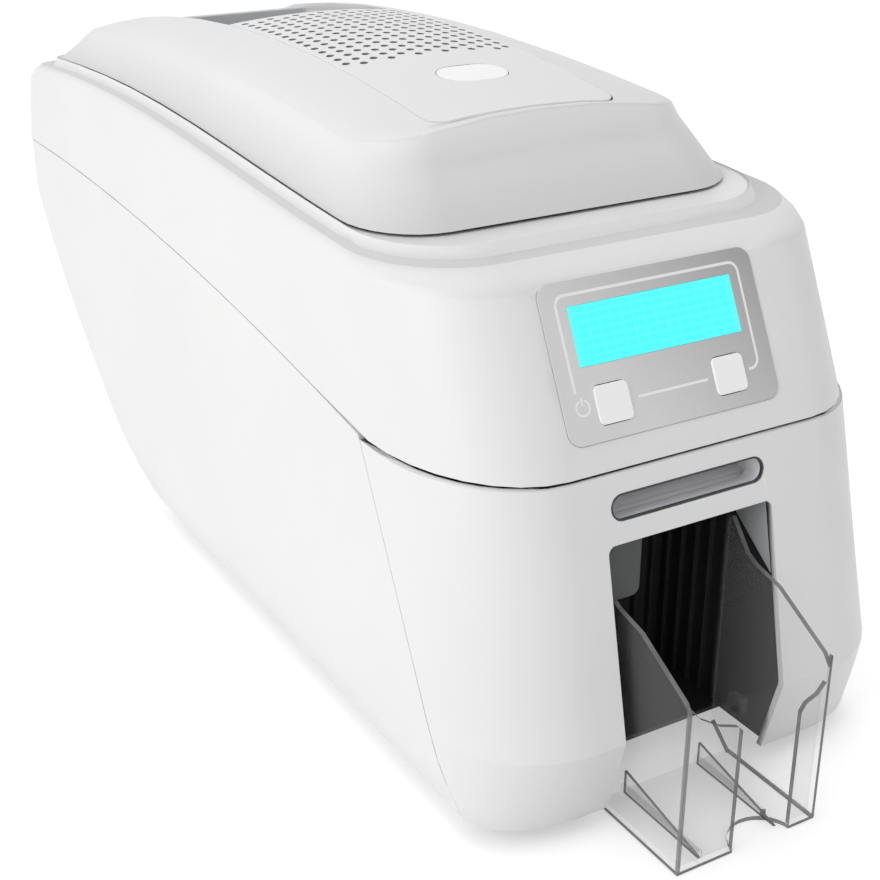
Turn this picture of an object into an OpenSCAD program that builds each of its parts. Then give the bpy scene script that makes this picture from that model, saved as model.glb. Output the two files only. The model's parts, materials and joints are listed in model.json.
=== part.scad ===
// Desktop card printer with a hinged lid, front card slot, stacker tray and rear card hopper.
// Drawn with y = 0 at the crease of the fascia and z = 0 at the lower edge of the body, then seated on its feet.

/* [Body] */
// Width over the side panels
body_width = 187.5; // [150:1:220]
// Rear end of the body behind the fascia crease
body_rear = 467; // [440:1:500]
// Height of the feet under the body
foot_height = 8; // [5:0.5:12]
// Wall thickness of the plastic shells
shell_wall = 2.6; // [2:0.1:4]
// How far the sides tuck in at the bottom
side_tuck = 6.7; // [3:0.1:9]
// Height over which the sides tuck in
side_tuck_height = 36; // [25:1:50]
// Gap between neighbouring shells
seam_gap = 0.6; // [0.3:0.1:1]
// Radius of the rear corners seen from above
rear_corner = 14; // [10:0.5:20]

/* [Fascia] */
// Height of the crease across the fascia
crease_z = 31.7; // [25:0.5:40]
// How far the fascia leans back under the crease
chin_depth = 8.2; // [4:0.2:14]
// Lean of the fascia above the crease, run over rise
fascia_slope = 0.226; // [0.15:0.005:0.3]
// Height of the seam round the front
seam_front_z = 124.6; // [118:0.5:130]
// Where the seam turns from the corner into the side
seam_side_y = 89; // [80:1:100]
// Highest height of the seam along the side
seam_peak_z = 153.8; // [145:0.5:160]
// Distance along the body of that highest height
seam_peak_y = 430; // [400:1:460]
// Half width of the flat front between the corners
front_flat = 52; // [46:0.5:58]

/* [Openings in the front] */
// Sideways offset of the card path and the display from the middle
path_offset = -4.25; // [-6:0.25:0]
// Half width of the stacker opening
opening_half = 35.4; // [31:0.1:40]
// Height from the top of the stacker opening up to the card path
slot_drop = 12.1; // [9:0.1:16]
// Depth of the stacker chute
chute_depth = 77; // [70:1:84]
// Height of the card path
path_z = 112.5; // [110:0.5:114]
// Width of the card slot
slot_width = 64.2; // [58:0.5:70]
// Height of the card slot
slot_height = 8; // [5:0.5:10]
// Width of the bezel rim round the slot
bezel_rim = 0.8; // [0.6:0.1:2]

/* [Display face] */
// Lean of the display face, run over rise
face_slope = 0.5; // [0.4:0.01:0.6]
// Half width of the keypad overlay
overlay_half = 44.6; // [42:0.5:47]
// Lower edge of the overlay, along the face from the seam
overlay_low = 10.7; // [8:0.5:14]
// Upper edge of the overlay, along the face from the seam
overlay_high = 64.9; // [60:0.5:66]
// Corner radius of the overlay
overlay_corner = 5.5; // [3:0.5:8]
// Thickness of the overlay
overlay_thick = 1; // [0.6:0.1:1.6]
// Half width of the display window
window_half = 34.1; // [30:0.5:38]
// Height of the display window along the face
window_height = 20.3; // [16:0.5:24]
// Middle of the display window along the face
window_mid = 46.1; // [42:0.5:50]
// Side of the square keys
key_side = 13.2; // [10:0.2:15]
// Distance of each key from the middle
key_reach = 24.7; // [20:0.5:32]
// Middle of the keys along the face
key_mid = 22.5; // [19:0.5:26]
// How far a key stands out of the overlay
key_proud = 1.2; // [0.8:0.1:2]
// Travel of a key
key_travel = 0.8; // [0.4:0.1:1]

/* [Shoulder] */
// Lowest height of the shoulder band, at the front
band_front_z = 187.4; // [180:0.5:194]
// Rise of the shoulder band to its crest
band_rise = 11.6; // [6:0.2:16]
// Distance along the body of that crest
band_crest_y = 330; // [300:5:360]
// How far the band's outer edge lies inside the side panels
band_slant = 3.6; // [3:0.05:6]
// Gap between the lid and the band's inner edge
lid_gap = 2; // [1:0.1:3]
// How far the ledge under the lid reaches in below it
ledge_reach = 3.1; // [2:0.1:5]
// Front of the band's outer edge
band_front_y = 63.5; // [58:0.5:68]
// Front of the band's inner edge
band_back_y = 76; // [72:0.5:80]

/* [Lid] */
// Half width of the lid at its base
lid_half = 81.4; // [78:0.2:82]
// Half width of the lid at its upper edge
lid_top_half = 72.3; // [68:0.5:75]
// Front of the lid at its base
lid_front_y = 94; // [90:0.5:100]
// Rear end of the lid
lid_rear_y = 429; // [420:1:431]
// Height of the lid's upper edge at its crest
lid_edge_z = 221.4; // [214:0.5:226]
// Height of the panel's edge at its crest
lid_crest_z = 231.4; // [226:0.5:236]
// Distance along the body of the panel's crest
crest_y = 257; // [240:1:275]
// Half width of the perforated panel
panel_half = 41; // [36:0.5:44]
// Front edge of the perforated panel
panel_front_y = 121; // [116:0.5:130]
// Rear edge of the perforated panel
panel_rear_y = 297; // [285:1:300]
// Rise of the panel to its middle line
panel_crown = 2.5; // [1:0.1:4]
// Thickness of the perforated panel
panel_thick = 2.5; // [2:0.1:3.5]
// Diameter of the vent holes
vent_hole = 3; // [2.4:0.1:3.6]
// Spacing of the vent holes along the panel
vent_pitch = 6.8; // [6:0.1:7]
// Spacing of the columns of vent holes across the panel
vent_column = 6.1; // [5.5:0.1:6.4]
// Vent holes in a column
vent_rows = 15; // [10:1:15]
// Columns of vent holes on each side of the middle one
vent_columns = 6; // [4:1:6]
// Middle of the lid button along the body
button_y = 161; // [155:0.5:168]
// Half width of the lid button
button_half_x = 14.5; // [12:0.1:16]
// Half length of the lid button along the body
button_half_y = 9.3; // [7:0.1:10]
// Travel of the lid button
button_travel = 3; // [2:0.5:4]

/* [Hinge] */
// Distance of the hinge axis along the body
hinge_y = 421; // [418:0.5:423]
// Height of the hinge axis
hinge_z = 200; // [198:0.5:202]
// Radius of the hinge pins
hinge_pin_r = 2.5; // [2:0.1:3]

/* [Mechanism] */
// First roller shaft behind the crease
roller_first_y = 95; // [92:0.5:98]
// Distance between the roller shafts
roller_spacing = 75; // [75:0.5:75]
// Radius of the drive rollers
roller_r = 8; // [7:0.1:9]
// Radius of the pinch rollers
pinch_r = 6; // [5:0.1:7]
// Radius of the shafts
shaft_r = 3; // [2.5:0.1:3.5]
// Running clearance round the shafts
shaft_fit = 0.06; // [0.02:0.01:0.1]
// Thickness of a card
card_thick = 0.8; // [0.7:0.05:1]
// Width of a card
card_width = 54; // [54:0.1:54]
// Length of a card
card_length = 85.6; // [85.6:0.1:85.6]
// Distance of the side frames from the middle
frame_x = 60; // [58:0.5:62]
// Thickness of the side frames
frame_thick = 2; // [1.5:0.1:2.5]
// Teeth of the roller gears
roller_teeth = 20; // [20:1:20]
// Teeth of the motor pinion
pinion_teeth = 14; // [14:1:14]
// Outer radius of the supply spool
supply_r = 17; // [14:0.5:18]
// Outer radius of the take-up spool
takeup_r = 15; // [12:0.5:16]
// Height of the spools above the card path
spool_rise = 38; // [36:0.5:42]

/* [Base] */
// Distance of the feet from the middle
foot_x = 64; // [56:1:70]
// Front feet behind the crease
foot_front_y = 55; // [50:1:70]
// Rear feet behind the crease
foot_rear_y = 290; // [270:1:300]
// Distance of the chassis screws from the card path's middle line
boss_x = 54; // [50:1:56]
// Front chassis screws behind the crease
boss_front_y = 100; // [96:1:110]
// Rear chassis screws behind the crease
boss_rear_y = 285; // [270:1:290]

/* [Tray] */
// Gap between the tray and the edge of the stacker opening
tray_side_gap = 4.4; // [2:0.1:6]
// How far the rear end of the tray stays under the top of the opening
tray_rear_drop = 10.4; // [6:0.1:16]
// Wall thickness of the output tray
tray_wall = 1.8; // [1.4:0.1:2.4]
// Front of the output tray
tray_front_y = -26; // [-34:1:-20]

/* [Hidden] */
$fn = 48;
half = body_width / 2;
opening_top = path_z - slot_drop;
tray_half = opening_half - tray_side_gap;
hopper_half = panel_half - 1;
band_out = half - band_slant;
band_in = lid_half + lid_gap;
ledge_half = lid_half - ledge_reach;
gear_module = 1;
idler_teeth = roller_spacing / gear_module - roller_teeth;
tray_y = tray_front_y;
mid_y = (body_rear + tray_front_y) / 2;
face_angle = atan(face_slope);
fascia_angle = atan(fascia_slope);
seam_y = fascia_slope * (seam_front_z - crease_z);
drive_z = path_z - card_thick / 2 - roller_r;
pinch_z = path_z + card_thick / 2 + pinch_r;
spool_z = path_z + spool_rise;
panel_x_in = half - 3;
frame_out = frame_x + frame_thick;
head_y = roller_first_y + roller_spacing;
supply_y = head_y + 48;
takeup_y = head_y - 48;
hopper_front = panel_rear_y + 4;
hopper_rear = hopper_front + card_length + 8.4;
under_low = [321.6, 2];
under_high = [388, 57];
under_angle = atan((under_high[1] - under_low[1]) / (under_high[0] - under_low[0]));

// Shared helpers

module seat() {
    translate([0, -mid_y, foot_height])
        children();
}

// Seat of everything that lines up with the card path
module seat_path() {
    translate([path_offset, 0, 0])
        seat()
            children();
}

// Extrude an outline drawn in y and z along x
module along_x(x_from, length) {
    translate([x_from, 0, 0])
        rotate([90, 0, 90])
            linear_extrude(height = length)
                children();
}

module rod_x(x_from, length, r) {
    translate([x_from, 0, 0])
        rotate([0, 90, 0])
            cylinder(h = length, r = r);
}

module block(lo, hi) {
    translate(lo)
        cube([hi[0] - lo[0], hi[1] - lo[1], hi[2] - lo[2]]);
}

module round_rect(w, h, r) {
    union() {
        square([w - 2 * r, h], center = true);
        square([w, h - 2 * r], center = true);
        for (sx = [-1, 1])
            for (sy = [-1, 1])
                translate([sx * (w / 2 - r), sy * (h / 2 - r)])
                    circle(r = r);
    }
}

// Local frame of the display face: x across, y up the slope, z outwards
module on_face() {
    translate([0, seam_y, seam_front_z])
        rotate([90 - face_angle, 0, 0])
            children();
}

// Local frame of the upper fascia, at the height of the card path
module on_fascia() {
    translate([0, fascia_slope * (path_z - crease_z), path_z])
        rotate([90 - fascia_angle, 0, 0])
            children();
}

// A closed skin from rows of points; each row is a closed loop; the rows close on themselves or end in caps
module skin(rows, closed) {
    n = len(rows);
    m = len(rows[0]);
    last = closed ? n - 1 : n - 2;
    points = [for (row = rows) for (p = row) p];
    sides = [for (i = [0:last]) for (j = [0:m - 1]) for (t = [0, 1])
        let (a = i * m + j,
             b = i * m + (j + 1) % m,
             c = ((i + 1) % n) * m + (j + 1) % m,
             d = ((i + 1) % n) * m + j)
        t == 0 ? [a, b, c] : [a, c, d]];
    k = m / 2;
    caps = closed ? [] : [for (j = [0:k - 2]) for (t = [0, 1, 2, 3])
        let (e = (n - 1) * m)
        t == 0 ? [j, m - 1 - j, m - 2 - j] :
        t == 1 ? [j, m - 2 - j, j + 1] :
        t == 2 ? [e + j, e + m - 2 - j, e + m - 1 - j] :
                 [e + j, e + j + 1, e + m - 2 - j]];
    polyhedron(points = points, faces = concat(sides, caps), convexity = 6);
}

function seam_z(y) = y < seam_side_y
    ? seam_front_z + 0.9 * max(0, y - 21) / (seam_side_y - 21)
    : seam_peak_z - (seam_peak_z - seam_front_z - 0.9)
        * pow((seam_peak_y - y) / (seam_peak_y - seam_side_y), 2);
function tuck_x(z) = half - side_tuck * pow(max(0, 1 - z / side_tuck_height), 2);
function front_y(z) = z < crease_z ? chin_depth * (1 - z / crease_z) : fascia_slope * (z - crease_z);
function band_z(y) = band_front_z + band_rise / 2 * (1 + cos(180 * (band_crest_y - y) / 268));
function lid_base_z(y) = band_z(max(y, 70)) + 3.2;
function lid_edge(y) = lid_edge_z - 0.000297 * pow(y - 285, 2)
    - (y > 385 ? 6.5 * pow((y - 385) / 34, 2) : 0);
function panel_edge(y) = lid_crest_z - 0.000577 * pow(y - crest_y, 2)
    - (y < 135 ? 0.4 * pow((135 - y) / 14, 2) : 0)
    - (y > 405 ? 5 * pow((y - 405) / 24, 2) : 0);

// Fascia: a sheet that follows the front from the left seam to the right seam

function fascia_side_y(z) = z < 30 ? 29 + 11 * z / 30 : 40 + 49 * (z - 30) / 95;
function fascia_ry(z) = z < crease_z ? 21 + 19 * z / crease_z : 40 + 15 * (z - crease_z) / 93;
function fascia_half(z, t) = [
    [tuck_x(z) - t, fascia_side_y(z) - seam_gap],
    for (a = [90:-10:0])
        [front_flat + (tuck_x(z) - t - front_flat) * sin(a),
         front_y(z) + t + (fascia_ry(z) - t) * (1 - cos(a))],
    [36, front_y(z) + t]];
function mirrored(list) = [for (i = [len(list) - 1:-1:0]) [-list[i][0], list[i][1]]];
function fascia_row(z) = let (
    out = fascia_half(z, 0),
    inn = fascia_half(z, shell_wall))
    [for (p = concat(out, mirrored(out), mirrored_back(inn))) [p[0], p[1], z]];
function mirrored_back(list) = concat(
    [for (i = [0:len(list) - 1]) [-list[i][0], list[i][1]]],
    [for (i = [len(list) - 1:-1:0]) list[i]]);

module front_fascia() {
    levels = [0, 11, 22, 31.2, 32.2, 55, 78, 101, seam_front_z - 0.6];
    color([0.93, 0.93, 0.93])
        seat()
            difference() {
                union() {
                    skin([for (z = levels) fascia_row(z)], false);
                    for (s = [-1, 1])
                        block([s * 52 - 4, front_y(112) + 1, 104], [s * 52 + 4, 27, 112]);
                }
                translate([path_offset, 0, 0])
                    opening_cut();
                translate([path_offset, 0, 0])
                    on_fascia()
                        translate([0, 0, -12])
                            linear_extrude(height = 24)
                                round_rect(slot_width + 2 * bezel_rim, slot_height + 2 * bezel_rim,
                                           slot_height / 2 + bezel_rim - 0.05);
            }
}

module opening_cut() {
    r = 3;
    translate([0, 40, 0])
        rotate([90, 0, 0])
            linear_extrude(height = 60)
                union() {
                    translate([-opening_half, -5])
                        square([2 * opening_half, opening_top - r + 5]);
                    translate([-opening_half + r, 0])
                        square([2 * opening_half - 2 * r, opening_top]);
                    for (s = [-1, 1])
                        translate([s * (opening_half - r), opening_top - r])
                            circle(r = r);
                }
}

// Upper case: rings from the seam over the shoulder band to the rim under the lid and back inside

function ring_half(hx, fy, rx, ry, by, bx, bry) = [
    [0, fy],
    [(hx - rx) * 0.5, fy],
    for (a = [0:11.25:90])
        [hx - rx + rx * sin(a), fy + ry * (1 - cos(a))],
    for (k = [1:8])
        [hx, fy + ry + (by - bry - fy - ry) * k / 9],
    for (a = [0:18:90])
        [hx - bx + bx * cos(a), by - bry + bry * sin(a)]];
function ring_xy(hx, fy, rx, ry, by, bx, bry) = let (
    h = ring_half(hx, fy, rx, ry, by, bx, bry),
    n = len(h))
    concat(h, [for (i = [n - 1:-1:1]) [-h[i][0], h[i][1]]]);

function case_z(level, y, f) =
    level == 0 ? seam_z(y) + seam_gap :
    level == 1 ? seam_z(y) + f * (band_z(y) - 6.5 - seam_z(y)) :
    level == 2 ? band_z(y) - f :
    band_z(max(y, 70)) + f;

function case_ring(hx, fy, rx, ry, by, level, f) = [
    for (p = ring_xy(hx, fy, rx, ry, by, rear_corner, rear_corner - 2))
        [p[0], p[1], case_z(level, p[1], f)]];

module upper_case_shell() {
    t = shell_wall;
    r0 = body_rear - 1;
    y50 = seam_y + face_slope * (band_front_z - 6.5 - seam_front_z);
    rings = [
        case_ring(half, seam_y + 0.5, 41.7, 60, r0, 0, 0),
        case_ring(half, seam_y + (y50 - seam_y) * 0.5, 41, 58, r0 - 5, 1, 0.5),
        case_ring(half - 0.3, y50, 40, 55, 455, 1, 1),
        case_ring(half - 1.1, y50 + 6.6, 38, 46, 451, 2, 3.4),
        case_ring(band_out, band_front_y, 37, 40, 446, 2, 0),
        case_ring(band_in, band_back_y, 36, 36, 440.5, 3, 3.2),
        case_ring(band_in - 0.7, band_back_y + 1.2, 36, 35, 439.5, 3, 2.3),
        case_ring(ledge_half, 98, 32, 30, 433.5, 3, 1.2),
        case_ring(ledge_half, 98, 32, 30, 433.5, 3, 1.2 - t),
        case_ring(ledge_half + 2.5, band_back_y + 2, 34, 34, 437, 3, -t),
        case_ring(band_out - t, band_front_y + t, 36, 38, 443, 2, t),
        case_ring(half - 0.3 - t, y50 + t + 1, 39, 53, 452, 1, 0.96),
        case_ring(half - t, seam_y + (y50 - seam_y) * 0.5 + t + 0.3, 40, 56, r0 - 5 - t, 1, 0.5),
        case_ring(half - t, seam_y + 0.5 + t + 0.3, 40, 58, r0 - t, 0, 0)];
    m = len(rings[0]);
    skin([for (j = [0:m - 1]) [for (i = [0:len(rings) - 1]) rings[i][j]]], true);
}

module upper_case() {
    color([0.95, 0.95, 0.95])
        seat()
            difference() {
                union() {
                    upper_case_shell();
                    translate([path_offset, 0, 0])
                        on_face()
                            for (x = [-40, 40])
                                for (y = [overlay_low + 3, 52])
                                    translate([x, y, -8])
                                        cylinder(h = 7, r = 2.6);
                }
                translate([path_offset, 0, 0])
                    face_cuts();
                for (s = [-1, 1])
                    block([s * (lid_half - 10) - 11, hinge_y - 11, 184], [s * (lid_half - 10) + 11, 433, 216]);
            }
}

// Recess of the overlay, window hole and key holes
module face_cuts() {
    on_face()
        translate([0, (overlay_low + overlay_high) / 2, -0.6])
            linear_extrude(height = 5)
                round_rect(2 * overlay_half + 0.6, overlay_high - overlay_low + 0.6, overlay_corner);
    on_face()
        translate([0, window_mid, -5])
            linear_extrude(height = 8)
                square([2 * window_half + 0.6, window_height + 0.6], center = true);
    for (s = [-1, 1])
        on_face()
            translate([s * key_reach, key_mid, -5])
                linear_extrude(height = 8)
                    round_rect(key_side + 0.8, key_side + 0.8, 2.4);
}

// Side panels: the profile seen from the side, bent in at the bottom

function rear_curve(t) = [
    (1 - t) * (1 - t) * (body_rear - 1.6) + 2 * t * (1 - t) * 450 + t * t * under_high[0],
    (1 - t) * (1 - t) * (seam_z(body_rear)) + 2 * t * (1 - t) * 110 + t * t * under_high[1]];

module side_profile() {
    polygon(concat(
        [for (z = [0, 15, 30]) [fascia_side_y(z), z]],
        [[fascia_side_y(seam_front_z - 1), seam_front_z - 0.6]],
        [for (y = [89.5:17.1:466]) [y, seam_z(y)]],
        [for (t = [0:0.1:1]) rear_curve(t)],
        [under_low, [316.6, 0]]));
}

module side_panel(s) {
    z_list = [for (z = [0:4.5:side_tuck_height]) z];
    intersection() {
        corner_clip();
        along_x(s > 0 ? half - 31 : -half - 9, 40)
            side_profile();
        translate([0, 480, 0])
            rotate([90, 0, 0])
                linear_extrude(height = 480)
                    polygon(concat(
                        [for (z = z_list) [s * tuck_x(z), z]],
                        [[s * half, 160], [s * (half - 3), 160]],
                        [for (i = [len(z_list) - 1:-1:0]) [s * (tuck_x(z_list[i]) - 3), z_list[i]]]));
    }
}

module side_boss(s, y, z) {
    translate([s * (tuck_x(z) - 2.6), y, z])
        rotate([0, -s * 90, 0])
            cylinder(h = 8, r = 4);
}

module left_side_panel() {
    color([0.95, 0.95, 0.95])
        seat()
            union() {
                side_panel(-1);
                for (p = [[120, 20], [270, 20], [140, 120], [380, 130]])
                    side_boss(-1, p[0], p[1]);
            }
}

module right_side_panel() {
    color([0.95, 0.95, 0.95])
        seat()
            union() {
                side_panel(1);
                for (p = [[120, 20], [270, 20], [140, 120], [380, 130]])
                    side_boss(1, p[0], p[1]);
            }
}

module base_tray() {
    w = tuck_x(0) - 3.6;
    color([0.85, 0.85, 0.85])
        seat()
            difference() {
                union() {
                    block([-w, 32, 0], [w, 316, 3]);
                    block([-w, 80, 0], [w, 83, 10]);
                    block([-w, 310, 0], [w, 313, 10]);
                    for (s = [-1, 1]) {
                        block([s * (w - 1.5) - 1.5, 32, 0], [s * (w - 1.5) + 1.5, 316, 10]);
                        for (y = [boss_front_y, 180, boss_rear_y])
                            translate([path_offset, 0, 0])
                                block([s * boss_x - 5, y - 5, 0], [s * boss_x + 5, y + 5, 9]);
                    }
                }
                translate([path_offset, 0, 0])
                    block([-opening_half - 3.6, 20, -1], [opening_half + 3.6, chute_depth + 2.5, 20]);
                for (x = [-1, 1])
                    for (y = [foot_front_y, foot_rear_y])
                        translate([x * foot_x, y, -1])
                            cylinder(h = 2.5, r = 9.2);
                for (k = [0:7])
                    block([-30, 120 + 18 * k, -1], [30, 126 + 18 * k, 4]);
                translate([path_offset, 0, 0])
                    for (s = [-1, 1])
                        for (y = [boss_front_y, boss_rear_y])
                            translate([s * boss_x, y, 4])
                                cylinder(h = 6, r = 1.45);
            }
}

module rear_cover() {
    t = 3;
    w = panel_x_in - 0.5;
    outer = concat([for (k = [0:0.1:1]) rear_curve(k)], [under_low, [317, 0]]);
    inner = concat([[317, t], [under_low[0] - 1, under_low[1] + 3.4], [under_high[0] - 1.7, under_high[1] + 2.6]],
        [for (k = [0.9:-0.1:0]) rear_curve(k) + [-2.7, 1.3 * k]]);
    color([0.9, 0.9, 0.9])
        seat()
            difference() {
                intersection() {
                    along_x(-w, 2 * w)
                        polygon(concat(outer, inner));
                    tucked_prism(3.5);
                    corner_clip();
                }
                translate([path_offset, 0, 0])
                    socket_cuts();
                for (k = [-4:4])
                    block([k * 12 - 2.5, 450, 125], [k * 12 + 2.5, 470, 142]);
            }
}

module socket_cuts() {
    on_under()
        translate([-45, 0, -5])
            linear_extrude(height = 12)
                square([27.4, 20.4], center = true);
    on_under()
        translate([0, 0, -5])
            linear_extrude(height = 12)
                square([12.4, 11.4], center = true);
    on_under()
        translate([30, 0, -5])
            linear_extrude(height = 12)
                square([16.4, 13.9], center = true);
}

// Everything inside the side panels, which bend in at the bottom
module tucked_prism(inset) {
    z_list = [for (z = [0:4.5:side_tuck_height]) z];
    translate([0, 480, 0])
        rotate([90, 0, 0])
            linear_extrude(height = 480)
                polygon(concat(
                    [for (z = z_list) [tuck_x(z) - inset, z]],
                    [[half - inset, 260], [-half + inset, 260]],
                    [for (i = [len(z_list) - 1:-1:0]) [inset - tuck_x(z_list[i]), z_list[i]]]));
}

// Plan with the rounded rear corners
module corner_clip() {
    a = rear_corner;
    translate([0, 0, -1])
        linear_extrude(height = 170)
            union() {
                translate([-half - 1, -1])
                    square([body_width + 2, body_rear - 1 - a]);
                translate([-half + a, 0])
                    square([body_width - 2 * a, body_rear]);
                for (s = [-1, 1])
                    translate([s * (half - a), body_rear - 1 - a - 0.6])
                        circle(r = a);
            }
}

// Local frame of the sloping rear underside: x across, y up the slope, z inwards
module on_under() {
    translate([0, (under_low[0] + under_high[0]) / 2, (under_low[1] + under_high[1]) / 2])
        rotate([under_angle, 0, 0])
            children();
}

// Front pieces

module slot_bezel() {
    color([0.55, 0.57, 0.6])
        seat_path()
            on_fascia()
                difference() {
                    union() {
                        translate([0, 0, -9])
                            linear_extrude(height = 9.1)
                                round_rect(slot_width + 2 * bezel_rim - 0.4, slot_height + 2 * bezel_rim - 0.4,
                                           slot_height / 2 + bezel_rim - 0.25);
                    }
                    translate([0, 0, -10])
                        linear_extrude(height = 12)
                            round_rect(slot_width, slot_height, slot_height / 2 - 0.05);
                }
}

module stacker_chute() {
    x = opening_half + 0.3;
    f = shell_wall + 0.5;
    color([0.12, 0.12, 0.13])
        seat_path()
            union() {
                for (s = [-1, 1])
                    along_x(s > 0 ? x : -x - 2.2, 2.2)
                        polygon([[front_y(3) + f, 3], [front_y(crease_z) + f, crease_z],
                                 [front_y(opening_top) + f, opening_top + 2], [chute_depth, opening_top + 2],
                                 [chute_depth, 3]]);
                block([-x - 1, front_y(opening_top) + f + 2, opening_top], [x + 1, 60, opening_top + 1.6]);
                block([-x - 1, chute_depth - 3, 4], [x + 1, chute_depth - 1, 84]);
                block([-x - 1, 32, 4], [x + 1, chute_depth - 2, 6]);
                for (k = [-4:4])
                    block([k * 7.4 - 0.7, chute_depth - 6, 5], [k * 7.4 + 0.7, chute_depth - 2, 83]);
                for (s = [-1, 1])
                    for (k = [0:4])
                        block([s * (x - 0.4) - 1.4, 36 + 8 * k, 5], [s * (x - 0.4) + 1.4, 37.4 + 8 * k, 98]);
            }
}

module output_tray() {
    w = tray_wall;
    tab_half = (opening_half - tray_half + 0.4) / 2;
    color([0.85, 0.9, 0.92, 0.35])
        seat_path()
            difference() {
                union() {
                    for (s = [-1, 1])
                        along_x(s > 0 ? tray_half - w : -tray_half, w)
                            polygon([[tray_y, -8], [tray_y, 56], [tray_y + 3, 60], [1.7, 73.6], [14, 76.5],
                                     [19, opening_top - 21.4], [28, opening_top - tray_rear_drop],
                                     [30, opening_top - 12.4], [30, 0.8], [20, -8]]);
                    block([-tray_half, tray_y, -8], [tray_half, 20, -8 + w]);
                    translate([0, tray_y + w, 0])
                        rotate([90, 0, 0])
                            linear_extrude(height = w)
                                polygon([[-tray_half, -8], [-tray_half, 60], [-26, 54], [-17, 48], [-9, 45],
                                         [-7, 43], [-7, -8]]);
                    translate([0, tray_y + w, 0])
                        rotate([90, 0, 0])
                            linear_extrude(height = w)
                                polygon([[tray_half, -8], [tray_half, 60], [29.4, 50], [26, 46], [21, 44],
                                         [19, 41], [19, -8]]);
                    for (x = [-20, 14])
                        block([x - 0.8, tray_y + 0.5, -7], [x + 0.8, 20, -3]);
                    for (s = [-1, 1])
                        block([s * (tray_half + opening_half - 1) / 2 - tab_half, 17, 10],
                              [s * (tray_half + opening_half - 1) / 2 + tab_half, 24, 16]);
                }
                translate([6, tray_y - 2, -10])
                    cylinder(h = 12, r = 13);
            }
}

// Display face

module keypad_overlay() {
    color([0.68, 0.69, 0.7])
        seat_path()
            on_face()
                difference() {
                    translate([0, (overlay_low + overlay_high) / 2, -0.6])
                        linear_extrude(height = overlay_thick)
                            round_rect(2 * overlay_half, overlay_high - overlay_low, overlay_corner - 0.3);
                    translate([0, window_mid, -2])
                        linear_extrude(height = 4)
                            square([2 * window_half + 0.2, window_height + 0.2], center = true);
                    for (s = [-1, 1])
                        translate([s * key_reach, key_mid, -2])
                            linear_extrude(height = 4)
                                round_rect(key_side + 0.6, key_side + 0.6, 2.3);
                }
}

module display_window() {
    color([0.3, 0.95, 0.95, 0.8])
        seat_path()
            on_face()
                translate([0, window_mid, -1.4])
                    linear_extrude(height = 1.6)
                        square([2 * window_half, window_height], center = true);
}

module display_module() {
    color([0.2, 0.2, 0.2])
        seat_path()
            on_face()
                union() {
                    translate([0, window_mid, -4.4])
                        cube([2 * window_half - 1, window_height - 1, 6], center = true);
                    translate([0, window_mid, -6.6])
                        cube([2 * window_half + 6, window_height + 3, 2.8], center = true);
                }
}

module face_key(s) {
    deep = -4.6;
    on_face()
        translate([s * key_reach, key_mid, deep])
            union() {
                linear_extrude(height = overlay_thick - 0.6 + key_proud - deep)
                    round_rect(key_side, key_side, 2);
                translate([0, 0, -1.3])
                    cylinder(h = 1.4, r = 2);
            }
}

module left_key() {
    color([0.93, 0.93, 0.93])
        seat_path()
            face_key(-1);
}

module right_key() {
    color([0.93, 0.93, 0.93])
        seat_path()
            face_key(1);
}

module control_board() {
    color([0.1, 0.35, 0.2])
        seat_path()
            on_face()
                difference() {
                    union() {
                        translate([-48, 9, -9.6])
                            cube([96, 50, 1.6]);
                        for (s = [-1, 1])
                            translate([s * key_reach - 3, key_mid - 3, -8.1])
                                cube([6, 6, 1.3]);
                    }
                    for (x = [-40, 40])
                        for (y = [overlay_low + 3, 52])
                            translate([x, y, -12])
                                cylinder(h = 5, r = 1.2);
                }
}

// Lid: a U of stations from the left rear end round the front to the right rear end

function lid_half_path(hx, fy, rx, ry) = [
    [0, fy],
    [(hx - rx) * 0.5, fy],
    for (a = [0:11.25:90])
        [hx - rx + rx * sin(a), fy + ry * (1 - cos(a))],
    for (y = [145, 175, 210, 250, 290, 330, 365, 390, 405, 417, lid_rear_y])
        [hx, y]];
function lid_path(hx, fy, rx, ry) = let (
    h = lid_half_path(hx, fy, rx, ry),
    n = len(h))
    concat([for (i = [n - 1:-1:1]) [-h[i][0], h[i][1]]], h);
function lid_ring(hx, fy, rx, ry, level, f, share = 0) = [
    for (p = lid_path(hx, fy, rx, ry))
        [p[0] + share * path_offset, p[1], lid_z(level, p[0], p[1], f)]];
function lid_roof(x, y) = let (s = min(1, max(0, (abs(x) - panel_half) / (lid_top_half - panel_half))))
    abs(x) < panel_half
        ? panel_edge(y) + panel_crown * (1 - pow(x / panel_half, 2))
        : panel_edge(y) - (panel_edge(y) - lid_edge(y)) * pow(s, 1.2);
function lid_z(level, x, y, f) =
    level == 0 ? lid_base_z(y) + f :
    level == 1 ? lid_base_z(y) + f * (lid_edge(max(y, 122)) - lid_base_z(y)) :
    lid_roof(x, y) + f;

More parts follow.
